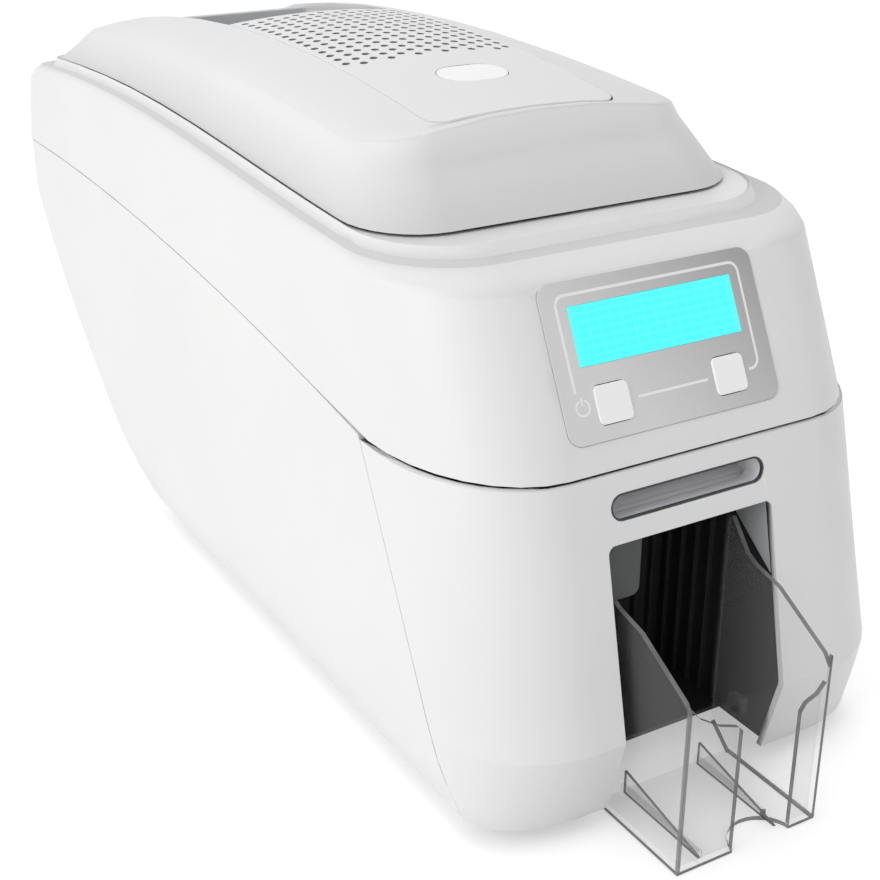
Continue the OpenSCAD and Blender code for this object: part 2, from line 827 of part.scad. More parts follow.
module lid_shell() {
    t = shell_wall;
    p = panel_half + 0.3;
    rings = [
        lid_ring(lid_half, lid_front_y, 28, 30, 0, 0.2),
        lid_ring(lid_half - 2.2, lid_front_y + 7, 27, 29, 1, 0.25),
        lid_ring(lid_half - 4.8, lid_front_y + 14, 26, 28, 1, 0.55),
        lid_ring(lid_half - 7.6, lid_front_y + 20.5, 25, 27, 1, 0.82),
        lid_ring(lid_top_half - 1, panel_front_y - 3.6, 24, 26, 2, 0.1),
        lid_ring(lid_top_half - 9, panel_front_y - 2.4, 18, 21, 2, 0.5, 0.35),
        lid_ring(lid_top_half - 19, panel_front_y - 1.2, 10, 12, 2, 0.4, 0.7),
        lid_ring(p, panel_front_y - 0.3, 8, 9, 2, 0, 1),
        lid_ring(p, panel_front_y - 0.3, 8, 9, 2, -t, 1),
        lid_ring(lid_top_half - 19, panel_front_y + 1, 9, 11, 2, -t - 0.3, 0.7),
        lid_ring(lid_top_half - 9, panel_front_y + 0.6, 17, 20, 2, -t - 0.6, 0.35),
        lid_ring(lid_top_half - 3, panel_front_y - 0.4, 22, 24, 2, -t - 1),
        lid_ring(lid_half - 10.4, lid_front_y + 23, 23, 25, 1, 0.72),
        lid_ring(lid_half - 7.4, lid_front_y + 17, 24, 26, 1, 0.5),
        lid_ring(lid_half - 4.7, lid_front_y + 9.6, 25, 27, 1, 0.22),
        lid_ring(lid_half - t, lid_front_y + t, 26, 28, 0, 0.2)];
    m = len(rings[0]);
    color([0.9, 0.9, 0.9])
        seat()
            difference() {
                union() {
                    skin([for (j = [0:m - 1]) [for (i = [0:len(rings) - 1]) rings[i][j]]], false);
                    for (s = [-1, 1]) {
                        lid_end(s);
                        translate([path_offset, 0, 0])
                            lid_inner_wall(s);
                    }
                }
                translate([path_offset, 0, 0])
                    for (s = [-1, 1])
                        block([s * (frame_x + 1) - 2.2, 405, 180], [s * (frame_x + 1) + 2.2, 440, 208]);
            }
}

// Closed rear end of a lid arm, rounded about the hinge axis
module lid_end(s) {
    along_x(s > 0 ? 40 : -71, s > 0 ? 31 : 25)
        intersection() {
            polygon([[lid_rear_y - 2.2, hinge_z - 1.7], [lid_rear_y, hinge_z - 1.7], [lid_rear_y, 204.6],
                     [lid_rear_y - 2.2, 204.6]]);
            translate([hinge_y, hinge_z])
                circle(r = 12);
        }
}

// Wall of a lid arm beside the card hopper
module lid_inner_wall(s) {
    along_x(s > 0 ? panel_half + 0.6 : -panel_half - 2.8, 2.2)
        polygon(concat(
            [for (y = [300:8.6:lid_rear_y]) [y, panel_edge(y) - 0.7]],
            [[lid_rear_y, 198], [300, 205.6]]));
}

module lid_liner() {
    z0 = 203.5;
    color([0.3, 0.31, 0.33])
        seat_path()
            difference() {
                union() {
                    translate([0, 0, z0])
                        linear_extrude(height = 2)
                            polygon([[-68, 140], [-56, 119], [56, 119], [68, 140], [68, 400], [46, 400], [46, 296],
                                     [-46, 296], [-46, 400], [-68, 400]]);
                    for (s = [-1, 1]) {
                        for (x = [s * 57.5, s * 66])
                            along_x(x - 1.5, 3)
                                union() {
                                    polygon([[392, z0], [hinge_y, hinge_z - 4.3], [hinge_y, hinge_z + 4.3],
                                             [392, z0 + 2]]);
                                    translate([hinge_y, hinge_z])
                                        circle(r = 4.3);
                                }
                    }
                    for (s = [-1, 1])
                        for (y = [150, 200, 260])
                            translate([s * 50, y, z0])
                                cylinder(h = lid_roof(53, y) - shell_wall - z0 - 1, r = 3);
                    for (s = [-1, 1])
                        block([s * 9 - 1.2, 122, z0 - 8], [s * 9 + 1.2, 157, z0 + 1]);
                }
                for (s = [-1, 1])
                    translate([0, hinge_y, hinge_z])
                        rod_x(s > 0 ? 50 : -74, 24, hinge_pin_r + shaft_fit);
                block([-5, 138, z0 - 1], [5, 166, z0 + 3]);
                translate([0, 255, z0 - 1])
                    cylinder(h = 4, r = 18.4);
            }
}

module hinge_pins() {
    color([0.75, 0.76, 0.78])
        seat_path()
            for (s = [-1, 1])
                translate([0, hinge_y, hinge_z])
                    union() {
                        rod_x(s > 0 ? 54 : -69, 15, hinge_pin_r);
                        rod_x(s > 0 ? 52.6 : -54, 1.4, hinge_pin_r + 1.2);
                    }
}

module vent_panel() {
    slope_r = 1 / (2 * 0.000577);
    color([0.88, 0.88, 0.88])
        seat_path()
            difference() {
                intersection() {
                    translate([0, crest_y, lid_crest_z - slope_r])
                        rotate([0, 90, 0])
                            rotate_extrude($fn = 200)
                                polygon(concat(
                                    [for (k = [-6:6]) let (x = k * panel_half / 6)
                                        [slope_r + panel_crown * (1 - pow(k / 6, 2)), x]],
                                    [for (k = [6:-1:-6]) let (x = k * panel_half / 6)
                                        [slope_r - panel_thick + panel_crown * (1 - pow(k / 6, 2)), x]]));
                    translate([0, 0, 200])
                        linear_extrude(height = 45)
                            panel_outline();
                }
                translate([0, 0, 200])
                    linear_extrude(height = 45)
                        union() {
                            for (i = [-vent_columns:vent_columns])
                                for (j = [0:vent_rows - 1])
                                    translate([i * vent_column,
                                               panel_rear_y - 7 - (j + abs(i % 2) / 2) * vent_pitch])
                                        circle(r = vent_hole / 2, $fn = 20);
                            oval(button_half_x + 0.4, button_half_y + 0.4);
                        }
            }
}

module oval(a, b) {
    translate([0, button_y])
        union() {
            for (s = [-1, 1])
                translate([s * (a - b), 0])
                    circle(r = b);
            square([2 * (a - b), 2 * b], center = true);
        }
}

module panel_outline() {
    polygon([[-panel_half, panel_front_y + 9], [-panel_half + 0.7, panel_front_y + 5.4],
             [-panel_half + 2.6, panel_front_y + 2.6], [-panel_half + 5.4, panel_front_y + 0.8],
             [-panel_half + 9, panel_front_y + 0.3], [panel_half - 9, panel_front_y + 0.3],
             [panel_half - 5.4, panel_front_y + 0.8], [panel_half - 2.6, panel_front_y + 2.6],
             [panel_half - 0.7, panel_front_y + 5.4], [panel_half, panel_front_y + 9],
             [panel_half, panel_rear_y], [panel_half * 0.5, panel_rear_y - 1.2], [0, panel_rear_y - 1.6],
             [-panel_half * 0.5, panel_rear_y - 1.2], [-panel_half, panel_rear_y]]);
}

module lid_button() {
    top = lid_roof(0, button_y);
    color([0.92, 0.92, 0.92])
        seat_path()
            union() {
                translate([0, 0, top - 5])
                    linear_extrude(height = 5)
                        oval(button_half_x, button_half_y);
                translate([0, 0, top - 6.5])
                    linear_extrude(height = 1.6)
                        oval(button_half_x + 2, button_half_y + 2);
                along_x(-4, 8)
                    polygon([[149.5, top - 6], [149.5, 203], [154, 207.5], [154, top - 6]]);
            }
}

module lid_latch() {
    color([0.25, 0.25, 0.26])
        seat_path()
            difference() {
                union() {
                    block([-7.4, 110, 196.6], [7.4, 158, 199.2]);
                    block([-7.4, 110, 179], [7.4, 113, 199.2]);
                    block([-7.4, 107.1, 179], [7.4, 111, 181.5]);
                    along_x(-4, 8)
                        polygon([[146, 199], [156, 199], [156, 206.5], [153.5, 206.5]]);
                }
                block([-3, 124, 195], [3, 136, 200]);
            }
}

module latch_catch() {
    color([0.7, 0.71, 0.73])
        seat_path()
            union() {
                block([-14, 84, 182.6], [14, 106.5, 184.2]);
                block([-14, 84, 165], [14, 85.6, 184.2]);
                block([-14, 84, 163.4], [14, 90, 165]);
            }
}

// Print head on the lid

module head_bracket() {
    color([0.7, 0.71, 0.73])
        seat_path()
            union() {
                block([-40, head_y - 9, 201.4], [40, head_y + 12, 203]);
                for (s = [-1, 1])
                    block([s * 38 - 1, head_y - 9, 136], [s * 38 + 1, head_y + 10, 202]);
                block([-38, head_y - 9, 134.5], [38, head_y + 10, 136]);
            }
}

module print_head() {
    color([0.55, 0.56, 0.58])
        seat_path()
            union() {
                block([-36, head_y - 6, 118], [36, head_y + 6, 134.2]);
                along_x(-30, 60)
                    polygon([[head_y - 5, 118], [head_y - 1, path_z + 0.9], [head_y + 1, path_z + 0.9],
                             [head_y + 5, 118]]);
                for (k = [-5:5])
                    block([k * 6.4 - 0.8, head_y + 5, 120], [k * 6.4 + 0.8, head_y + 9, 133]);
            }
}

module fan_frame() {
    color([0.12, 0.12, 0.13])
        seat_path()
            translate([0, 255, 206])
                difference() {
                    union() {
                        difference() {
                            translate([-20, -20, 0])
                                cube([40, 40, 10]);
                            translate([0, 0, -1])
                                cylinder(h = 12, r = 18.6);
                        }
                        cylinder(h = 1.6, r = 8);
                        for (a = [45:90:315])
                            rotate([0, 0, a])
                                translate([0, -1.2, 0])
                                    cube([19, 2.4, 1.6]);
                        cylinder(h = 6, r = 1.5);
                    }
                    for (x = [-1, 1])
                        for (y = [-1, 1])
                            translate([x * 17, y * 17, -1])
                                cylinder(h = 12, r = 1.4);
                }
}

module fan_impeller() {
    color([0.2, 0.2, 0.21])
        seat_path()
            translate([0, 255, 208])
                difference() {
                    union() {
                        cylinder(h = 7, r = 7.5);
                        for (k = [0:6])
                            rotate([0, 0, k * 360 / 7])
                                translate([6, 0, 3.5])
                                    rotate([35, 0, 0])
                                        translate([0, -0.5, -3.2])
                                            cube([11.4, 1, 6.4]);
                    }
                    translate([0, 0, -1])
                        cylinder(h = 6, r = 1.5 + shaft_fit);
                }
}

// Card hopper behind the lid panel

module card_hopper() {
    x_in = card_width / 2 + 0.5;
    low = path_z + 4;
    color([0.42, 0.43, 0.45])
        seat_path()
            difference() {
                union() {
                    block([-x_in - 2.4, hopper_front, low], [x_in + 2.4, hopper_rear, 196]);
                    block([-hopper_half, hopper_rear - 4, low], [hopper_half, hopper_rear, 219]);
                    block([-hopper_half, hopper_front, 180], [hopper_half, hopper_front + 3, 210]);
                    for (s = [-1, 1])
                        block([s * (hopper_half - 1) - 1, hopper_front, 188],
                              [s * (hopper_half - 1) + 1, hopper_rear, 200]);
                    block([-hopper_half, hopper_rear - 1, 186], [hopper_half, 428, 189]);
                    for (s = [-1, 1])
                        for (y = [hopper_front + 10, hopper_rear - 12])
                            block([s * 43.9 - 15.9, y - 2, low + 10], [s * 43.9 + 15.9, y + 2, low + 18]);
                }
                block([-x_in, hopper_front + 3, low - 1], [x_in, hopper_rear - 4, 230]);
                block([-14, hopper_front - 1, 196], [14, hopper_front + 4, 220]);
            }
}

// Chassis

module frame_plate(s) {
    x = s > 0 ? frame_x : -frame_out;
    difference() {
        along_x(x, frame_thick)
            difference() {
                union() {
                    polygon([[84, 9.2], [296, 9.2], [340, 42], [385, 80], [415, 120], [424, 160],
                             [hinge_y + 5, hinge_z], [hinge_y - 5, hinge_z], [hinge_y - 12, 176], [300, 170],
                             [84, 170]]);
                    translate([hinge_y, hinge_z])
                        circle(r = 5);
                }
                for (k = [0:3])
                    translate([roller_first_y + k * roller_spacing, drive_z])
                        circle(r = shaft_r + shaft_fit);
                for (k = [0, 2])
                    translate([roller_first_y + k * roller_spacing, pinch_z])
                        circle(r = 2 + shaft_fit);
                for (y = [supply_y, takeup_y])
                    translate([y, spool_z])
                        circle(r = 4 + shaft_fit);
                translate([hinge_y, hinge_z])
                    circle(r = hinge_pin_r + 0.02);
                translate([130, 50])
                    round_rect(60, 44, 8);
                translate([275, 45])
                    round_rect(34, 30, 8);
                translate([368, 150])
                    round_rect(60, 20, 6);
            }
        if (s < 0)
            translate([-70, motor_y(), motor_z()])
                rod_x(0, 20, 6);
    }
}

function motor_y() = roller_first_y + 1.5 * roller_spacing;
function motor_z() = drive_z - gear_module * (idler_teeth + pinion_teeth) / 2;

module frame_feet(s) {
    mid = (boss_x - 4 + frame_out) / 2;
    reach = (frame_out - boss_x + 4) / 2;
    difference() {
        for (y = [boss_front_y, boss_rear_y])
            block([s * mid - reach, y - 4, 9.2], [s * mid + reach, y + 4, 11]);
        for (y = [boss_front_y, boss_rear_y])
            translate([s * boss_x, y, 8])
                cylinder(h = 4, r = 1.5);
    }
}

module left_frame() {
    color([0.72, 0.73, 0.75])
        seat_path()
            union() {
                difference() {
                    frame_plate(-1);
                    for (k = [0:2])
                        translate([-70, roller_first_y + (k + 0.5) * roller_spacing, drive_z])
                            rod_x(0, 20, 2.4);
                }
                for (k = [0:2])
                    translate([0, roller_first_y + (k + 0.5) * roller_spacing, drive_z])
                        rod_x(-71.5, 11, 2.5);
                frame_feet(-1);
            }
}

module right_frame() {
    color([0.72, 0.73, 0.75])
        seat_path()
            union() {
                frame_plate(1);
                frame_feet(1);
            }
}

module cross_ties() {
    color([0.7, 0.71, 0.73])
        seat_path()
            for (p = [[89, 160], [290, 160], [172, 30], [405, 130]])
                translate([0, p[0], p[1]])
                    rod_x(-frame_x, 2 * frame_x, 3);
}

module card_guide() {
    x = card_width / 2 + 0.5;
    color([0.3, 0.31, 0.33])
        seat_path()
            difference() {
                union() {
                    block([-x - 3, 36, path_z - 3.4], [x + 3, 398, path_z - 1.6]);
                    along_x(-slot_width / 2 - 1, slot_width + 2)
                        polygon([[28, path_z - 6.6], [28, path_z - 5.8], [40, path_z - 1.6], [42, path_z - 3.4]]);
                    for (s = [-1, 1])
                        block([s * (x + 1.5) - 1.5, 40, path_z - 3], [s * (x + 1.5) + 1.5, 398, path_z + 2]);
                    for (s = [-1, 1])
                        for (y = [72, 205, 350])
                            block([s * 45 - 15, y - 3, path_z - 3.4], [s * 45 + 15, y + 3, path_z - 1.6]);
                }
                for (k = [0:3])
                    block([-24, roller_first_y + k * roller_spacing - 9, path_z - 8],
                          [24, roller_first_y + k * roller_spacing + 9, path_z + 4]);
                block([-x - 5, head_y - 22, path_z + 0.3], [x + 5, head_y + 22, path_z + 4]);
            }
}

// Rollers and gears

module gear_outline(teeth, phase) {
    r = gear_module * teeth / 2;
    tip = r + gear_module * 0.9;
    root = r - gear_module * 1.15;
    polygon([for (k = [0:teeth - 1]) for (q = [0:3])
        let (a = phase + (k + [-0.33, -0.13, 0.13, 0.33][q]) * 360 / teeth,
             rr = q == 0 || q == 3 ? root : tip)
        [rr * cos(a), rr * sin(a)]]);
}

module gear(y, z, teeth, phase, bore) {
    translate([0, y, z])
        along_x(-69, 4)
            difference() {
                gear_outline(teeth, phase);
                circle(r = bore);
            }
}

module drive_roller(k) {
    y = roller_first_y + k * roller_spacing;
    tooth = k % 2 == 0 ? 0 : 180 / roller_teeth;
    union() {
        translate([0, y, drive_z])
            rod_x(-72, 72 + frame_out + 4, shaft_r);
        for (s = [-1, 1])
            translate([0, y, drive_z])
                rod_x(s > 0 ? 4 : -23, 19, roller_r);
        translate([0, y, drive_z])
            rod_x(frame_out + 0.3, 1.2, shaft_r + 1.2);
        gear(y, drive_z, roller_teeth, tooth, shaft_r - 0.3);
    }
}

module front_feed_roller() {
    color([0.2, 0.2, 0.2])
        seat_path()
            drive_roller(0);
}

module platen_roller() {
    color([0.15, 0.15, 0.16])
        seat_path()
            union() {
                drive_roller(1);
                translate([0, head_y, drive_z])
                    rod_x(-23, 46, roller_r);
            }
}

module rear_feed_roller() {
    color([0.2, 0.2, 0.2])
        seat_path()
            drive_roller(2);
}

module pick_roller() {
    color([0.2, 0.2, 0.2])
        seat_path()
            drive_roller(3);
}

module pinch_roller(k) {
    translate([0, roller_first_y + k * roller_spacing, pinch_z])
        union() {
            rod_x(-frame_out - 2, 2 * frame_out + 4, 2);
            for (s = [-1, 1])
                rod_x(s > 0 ? 4 : -23, 19, pinch_r);
        }
}

module front_pinch_roller() {
    color([0.3, 0.3, 0.3])
        seat_path()
            pinch_roller(0);
}

module rear_pinch_roller() {
    color([0.3, 0.3, 0.3])
        seat_path()
            pinch_roller(2);
}

module idler(k) {
    y = roller_first_y + (k + 0.5) * roller_spacing;
    start = k % 2 == 0 ? 180 + 180 / idler_teeth : 180;
    difference() {
        gear(y, drive_z, idler_teeth, start, 2.5 + shaft_fit);
        for (a = [30:60:330])
            translate([0, y + 15 * cos(a), drive_z + 15 * sin(a)])
                rod_x(-70, 8, 5);
    }
}

module front_idler_gear() {
    color([0.9, 0.89, 0.84])
        seat_path()
            idler(0);
}

module middle_idler_gear() {
    color([0.9, 0.89, 0.84])
        seat_path()
            idler(1);
}

module rear_idler_gear() {
    color([0.9, 0.89, 0.84])
        seat_path()
            idler(2);
}

module drive_motor() {
    color([0.4, 0.41, 0.43])
        seat_path()
            translate([0, motor_y(), motor_z()])
                difference() {
                    union() {
                        rod_x(-59.6, 40, 18);
                        rod_x(-61.8, 2.4, 5.6);
                        rod_x(-20, 5, 7);
                    }
                    rod_x(-72, 12.4, 2 + shaft_fit);
                }
}

module motor_pinion() {
    step = 360 / idler_teeth;
    over = (270 - 180) / step;
    ahead = (ceil(over) - over) * step;
    phase = 90 - ahead * idler_teeth / pinion_teeth + 180 / pinion_teeth;
    color([0.8, 0.66, 0.35])
        seat_path()
            union() {
                gear(motor_y(), motor_z(), pinion_teeth, phase, 1.7);
                translate([0, motor_y(), motor_z()])
                    rod_x(-70, 10, 2);
            }
}

// Ribbon

module ribbon_cassette() {
    color([0.25, 0.26, 0.3])
        seat_path()
            union() {
                for (s = [-1, 1])
                    along_x(s > 0 ? 48 : -51, 3)
                        difference() {
                            union() {
                                translate([(supply_y + takeup_y) / 2, spool_z + 8])
                                    square([supply_y - takeup_y, 8], center = true);
                                for (y = [supply_y, takeup_y])
                                    translate([y, spool_z])
                                        circle(r = 13);
                            }
                            for (y = [supply_y, takeup_y])
                                translate([y, spool_z])
                                    circle(r = 5.5 + shaft_fit);
                        }
                for (y = [takeup_y - 20, supply_y + 21])
                    translate([0, y, spool_z + 8])
                        rod_x(-51, 102, 2.5);
                for (s = [-1, 1])
                    for (y = [takeup_y - 22.5, supply_y + 5])
                        block([s * 49.5 - 1.5, y, spool_z + 5.5], [s * 49.5 + 1.5, y + 18.5, spool_z + 10.5]);
            }
}

module spool(y, r) {
    translate([0, y, spool_z])
        union() {
            rod_x(-frame_out - 1, 2 * frame_out + 2, 4);
            rod_x(-52, 104, 5.5);
            rod_x(-40, 80, 7);
            rod_x(-31, 62, r);
        }
}

module supply_spool() {
    color([0.12, 0.1, 0.1])
        seat_path()
            spool(supply_y, supply_r);
}

module takeup_spool() {
    color([0.12, 0.1, 0.1])
        seat_path()
            spool(takeup_y, takeup_r);
}

module ribbon_film() {
    t = 0.25;
    z = path_z + 0.5;
    a = [takeup_y + takeup_r * 0.8, spool_z - takeup_r * 0.66];
    b = [supply_y - supply_r * 0.8, spool_z - supply_r * 0.66];
    color([0.35, 0.1, 0.12])
        seat_path()
            along_x(-30, 60)
                polygon([a, [head_y - 2, z], [head_y + 2, z], b, b + [0, t * 1.6], [head_y + 2, z + t],
                         [head_y - 2, z + t], a + [0, t * 1.6]]);
}

// Electrics

module main_board() {
    color([0.1, 0.35, 0.2])
        seat_path()
            union() {
                block([-47, 92, 9.4], [4, 276, 11]);
                block([-40, 110, 10.8], [-20, 130, 14]);
                block([-10, 105, 10.8], [0, 125, 20]);
                block([-44, 240, 10.8], [-30, 270, 18]);
                for (k = [0:2]) {
                    translate([-10, 160 + 14 * k, 10.8])
                        cylinder(h = 12, r = 5);
                }
                block([-47, 92, 3], [-43, 96, 9.6]);
                block([0, 92, 3], [4, 96, 9.6]);
                block([-47, 272, 3], [-43, 276, 9.6]);
                block([0, 272, 3], [4, 276, 9.6]);
            }
}

module power_supply() {
    color([0.7, 0.71, 0.73])
        seat_path()
            difference() {
                block([9, 185, 3], [46, 300, 44]);
                for (k = [0:5])
                    block([14, 195 + 16 * k, 42.5], [41, 201 + 16 * k, 46]);
            }
}

module power_inlet() {
    color([0.08, 0.08, 0.08])
        seat_path()
            on_under()
                translate([-45, 0, 0])
                    difference() {
                        union() {
                            translate([-13.5, -10, -0.4])
                                cube([27, 20, 20]);
                            translate([-15, -11.5, 3.6])
                                cube([30, 23, 1.4]);
                        }
                        translate([-11, -7.5, -2])
                            cube([22, 15, 16]);
                    }
            }

module usb_socket() {
    color([0.75, 0.75, 0.77])
        seat_path()
            on_under()
                difference() {
                    union() {
                        translate([-6, -5.5, -0.2])
                            cube([12, 11, 15]);
                        translate([-8, -7.5, 3.6])
                            cube([16, 15, 1.4]);
                    }
                    translate([-4.6, -4.1, -1])
                        cube([9.2, 8.2, 10]);
                }
}

module network_socket() {
    color([0.7, 0.7, 0.72])
        seat_path()
            on_under()
                translate([30, 0, 0])
                    difference() {
                        union() {
                            translate([-8, -6.75, -0.2])
                                cube([16, 13.5, 18]);
                            translate([-10, -8.5, 3.6])
                                cube([20, 17, 1.4]);
                        }
                        translate([-6, -4.4, -1])
                            cube([12, 8.8, 12]);
                    }
}

module rubber_feet() {
    color([0.15, 0.15, 0.15])
        seat()
            for (x = [-1, 1])
                for (y = [foot_front_y, foot_rear_y])
                    translate([x * foot_x, y, -foot_height])
                        union() {
                            cylinder(h = 2, r = 8);
                            translate([0, 0, 1.9])
                                cylinder(h = foot_height - 0.5, r = 9);
                        }
}

module case_screws() {
    color([0.5, 0.5, 0.52])
        seat_path()
            union() {
                for (s = [-1, 1])
                    for (y = [boss_front_y, boss_rear_y])
                        translate([s * boss_x, y, 6])
                            union() {
                                translate([0, 0, 5.1])
                                    cylinder(h = 2, r = 3);
                                cylinder(h = 5.2, r = 1.4);
                            }
            }
}

base_tray();
left_side_panel();
right_side_panel();
front_fascia();
upper_case();
rear_cover();
slot_bezel();
stacker_chute();
output_tray();
keypad_overlay();
display_window();
display_module();
left_key();
right_key();
control_board();
lid_shell();
lid_liner();
vent_panel();
lid_button();
lid_latch();
latch_catch();
hinge_pins();
print_head();
head_bracket();
fan_frame();
fan_impeller();
card_hopper();
left_frame();
right_frame();
cross_ties();
card_guide();
front_feed_roller();
platen_roller();
rear_feed_roller();
pick_roller();
front_pinch_roller();
rear_pinch_roller();
front_idler_gear();
middle_idler_gear();
rear_idler_gear();
drive_motor();
motor_pinion();
ribbon_cassette();
supply_spool();
takeup_spool();
ribbon_film();
main_board();
power_supply();
power_inlet();
usb_socket();
network_socket();
rubber_feet();
case_screws();
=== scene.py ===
# %% [markdown]
# # An id card printer, finished in Blender
# The printer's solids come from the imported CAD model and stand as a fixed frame. This lesson gives them
# their surfaces: it rounds the moulded edges, adds the small pieces that a mould or a print shop adds,
# paints everything with node materials, and lights it as a studio would. All sizes are in metres, in
# the CAD's own frame. The drawing counts along the printer from the crease of its front, and its height
# from the lower edge of the body, so two shifts turn drawn places into the frame's: the frame's middle
# lies MID_Y behind the crease, and the feet lift the body by FOOT. The card path runs a little left of
# the middle.

# %% Load the frame
import json
import math

import bpy
import bmesh
from mathutils import Matrix, Vector


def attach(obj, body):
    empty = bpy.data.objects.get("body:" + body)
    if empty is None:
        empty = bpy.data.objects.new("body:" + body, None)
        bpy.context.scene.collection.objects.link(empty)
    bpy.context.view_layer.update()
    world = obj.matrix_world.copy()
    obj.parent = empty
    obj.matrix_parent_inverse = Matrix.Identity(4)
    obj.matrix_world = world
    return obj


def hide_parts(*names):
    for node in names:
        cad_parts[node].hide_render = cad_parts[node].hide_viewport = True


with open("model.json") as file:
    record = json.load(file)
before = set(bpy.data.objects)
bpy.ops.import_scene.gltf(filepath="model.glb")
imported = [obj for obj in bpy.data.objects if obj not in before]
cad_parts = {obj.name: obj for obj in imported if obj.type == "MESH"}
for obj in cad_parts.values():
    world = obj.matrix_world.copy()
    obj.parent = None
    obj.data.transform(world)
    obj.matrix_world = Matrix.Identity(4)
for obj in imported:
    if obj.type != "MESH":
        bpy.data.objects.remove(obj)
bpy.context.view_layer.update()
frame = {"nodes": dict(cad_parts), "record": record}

nodes = frame["nodes"]
MID_Y = 0.2205
FOOT = 0.008
PATH_X = -0.00425

# %% [markdown]
# The camera comes first, so that every test picture has the same frame. It looks at the printer's left
# front corner, turned 30.5 degrees and tipped down 24.4 degrees, through a lens of about 63 mm. A
# rotation could be typed in as three angles, but a direction of view is easier to read, and
# to_track_quat turns it into the rotation: a camera or a lamp looks along its own -Z, with its own Y
# upwards.

# %% The camera
AZIMUTH = math.radians(30.5)
ELEVATION = math.radians(24.4)
EYE = Vector((-0.3156, -0.56384, 0.35145))
LENS_MM = 63.05


def deselect():
    bpy.ops.object.select_all(action="DESELECT")


def aim(direction):
    return direction.to_track_quat("-Z", "Y").to_euler()


level = math.cos(ELEVATION)
look = Vector((math.sin(AZIMUTH) * level, math.cos(AZIMUTH) * level, -math.sin(ELEVATION)))
deselect()
bpy.ops.object.camera_add(location=EYE, rotation=aim(look))
camera = bpy.context.object
camera.name = "studio_camera"
camera.data.sensor_width = 36
camera.data.lens = LENS_MM
camera.data.clip_start = 0.01
camera.data.clip_end = 20
bpy.context.scene.camera = camera
print("camera at", tuple(round(v, 3) for v in EYE))

# %% [markdown]
# A CAD node arrives as loose triangles with razor edges, while a mould rounds every edge, and the
# rounding catches a thin line of light. A Bevel node in the material would only fake it and be lost in
# the exported mesh. So a copy of the node is taken, its corners are merged, its flat triangles are
# dissolved into whole faces, and a narrow Bevel modifier is applied. The three great shells have their
# roundings in the CAD already, so they get no bevel, and only their shading is smoothed. The copy
# stands for the node, which stays hidden in its place for the motion tests.

# %% Helpers: select, apply, stand for a node
MERGE = 0.000004
body_of_node = {n: b for b, ns in frame["record"]["behaviour"]["bodies"].items() for n in ns}
slot_of_node = {s["node"]: s["material_slot"] for s in frame["record"]["subparts"]}


def only(obj):
    deselect()
    obj.select_set(True)
    bpy.context.view_layer.objects.active = obj


def apply(obj, modifier):
    only(obj)
    bpy.ops.object.modifier_apply(modifier=modifier.name)


def stand_for(piece, node):
    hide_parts(node)
    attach(piece, body_of_node[node])


print(len(set(body_of_node.values())), "bodies,", len(set(slot_of_node.values())), "material slots")


# %% Helper: a softened copy of a CAD node
def soften(node, edge, shape=None):
    source = nodes[node]
    piece = source.copy()
    piece.data = source.data.copy()
    piece.name = node + "_skin"
    piece.parent = None
    piece.matrix_world = source.matrix_world.copy()
    bpy.context.scene.collection.objects.link(piece)
    only(piece)
    bpy.ops.object.mode_set(mode="EDIT")
    bpy.ops.mesh.select_all(action="SELECT")
    bpy.ops.mesh.remove_doubles(threshold=MERGE)
    if edge:
        bpy.ops.mesh.dissolve_limited(angle_limit=math.radians(0.5))
    bpy.ops.mesh.normals_make_consistent(inside=False)
    bpy.ops.object.mode_set(mode="OBJECT")
    if shape:
        shape(piece.data)
    crease = math.radians(35 if edge else 40)
    if edge:
        bevel = piece.modifiers.new("edge", "BEVEL")
        bevel.width = edge
        bevel.segments = 2
        bevel.limit_method = "ANGLE"
        bevel.angle_limit = crease
        apply(piece, bevel)
    bpy.ops.object.shade_smooth_by_angle(angle=crease)
    weigh = piece.modifiers.new("weigh", "WEIGHTED_NORMAL")
    weigh.keep_sharp = True
    apply(piece, weigh)
    stand_for(piece, node)
    print(piece.name, len(piece.data.polygons), "faces")
    return piece


# %% [markdown]
# A node material is a small tree, and most of its branches look alike: a pattern, numbers made of it,
# and a socket of the shader that they feed. Each kind of node gets a short helper that adds it, sets it
# and gives back its result, so that a whole finish reads as a few lines. All patterns start from Object
# coordinates, which need no unwrapping, stay sharp close up and sit still on a piece that moves.

# %% Helpers: one node each
def shader_of(mat):
    return next(n for n in mat.node_tree.nodes if n.type == "BSDF_PRINCIPLED")


def new_material(name):
    mat = bpy.data.materials.new(name)
    mat.use_nodes = True
    return mat, mat.node_tree, shader_of(mat)


def object_coords(tree):
    return tree.nodes.new("ShaderNodeTexCoord").outputs["Object"]


def noise(tree, coords, scale, detail):
    tex = tree.nodes.new("ShaderNodeTexNoise")
    tex.inputs["Scale"].default_value = scale
    tex.inputs["Detail"].default_value = detail
    tree.links.new(coords, tex.inputs["Vector"])
    return tex.outputs["Fac"]


def ramp(tree, fac, low, high, at=(0.35, 0.65)):
    node = tree.nodes.new("ShaderNodeValToRGB")
    for stop, place, colour in zip(node.color_ramp.elements, at, (low, high)):
        stop.position = place
        stop.color = (*colour, 1)
    tree.links.new(fac, node.inputs["Fac"])
    return node.outputs["Color"]


def bump(tree, shader, height, strength, distance):
    node = tree.nodes.new("ShaderNodeBump")
    node.inputs["Strength"].default_value = strength
    node.inputs["Distance"].default_value = distance
    tree.links.new(height, node.inputs["Height"])
    tree.links.new(node.outputs["Normal"], shader.inputs["Normal"])


print("pattern helpers ready")


# %% Helpers: sums and mixes
def feed(tree, value, socket):
    if isinstance(value, bpy.types.NodeSocket):
        tree.links.new(value, socket)
    else:
        socket.default_value = (*value, 1) if isinstance(value, tuple) else value


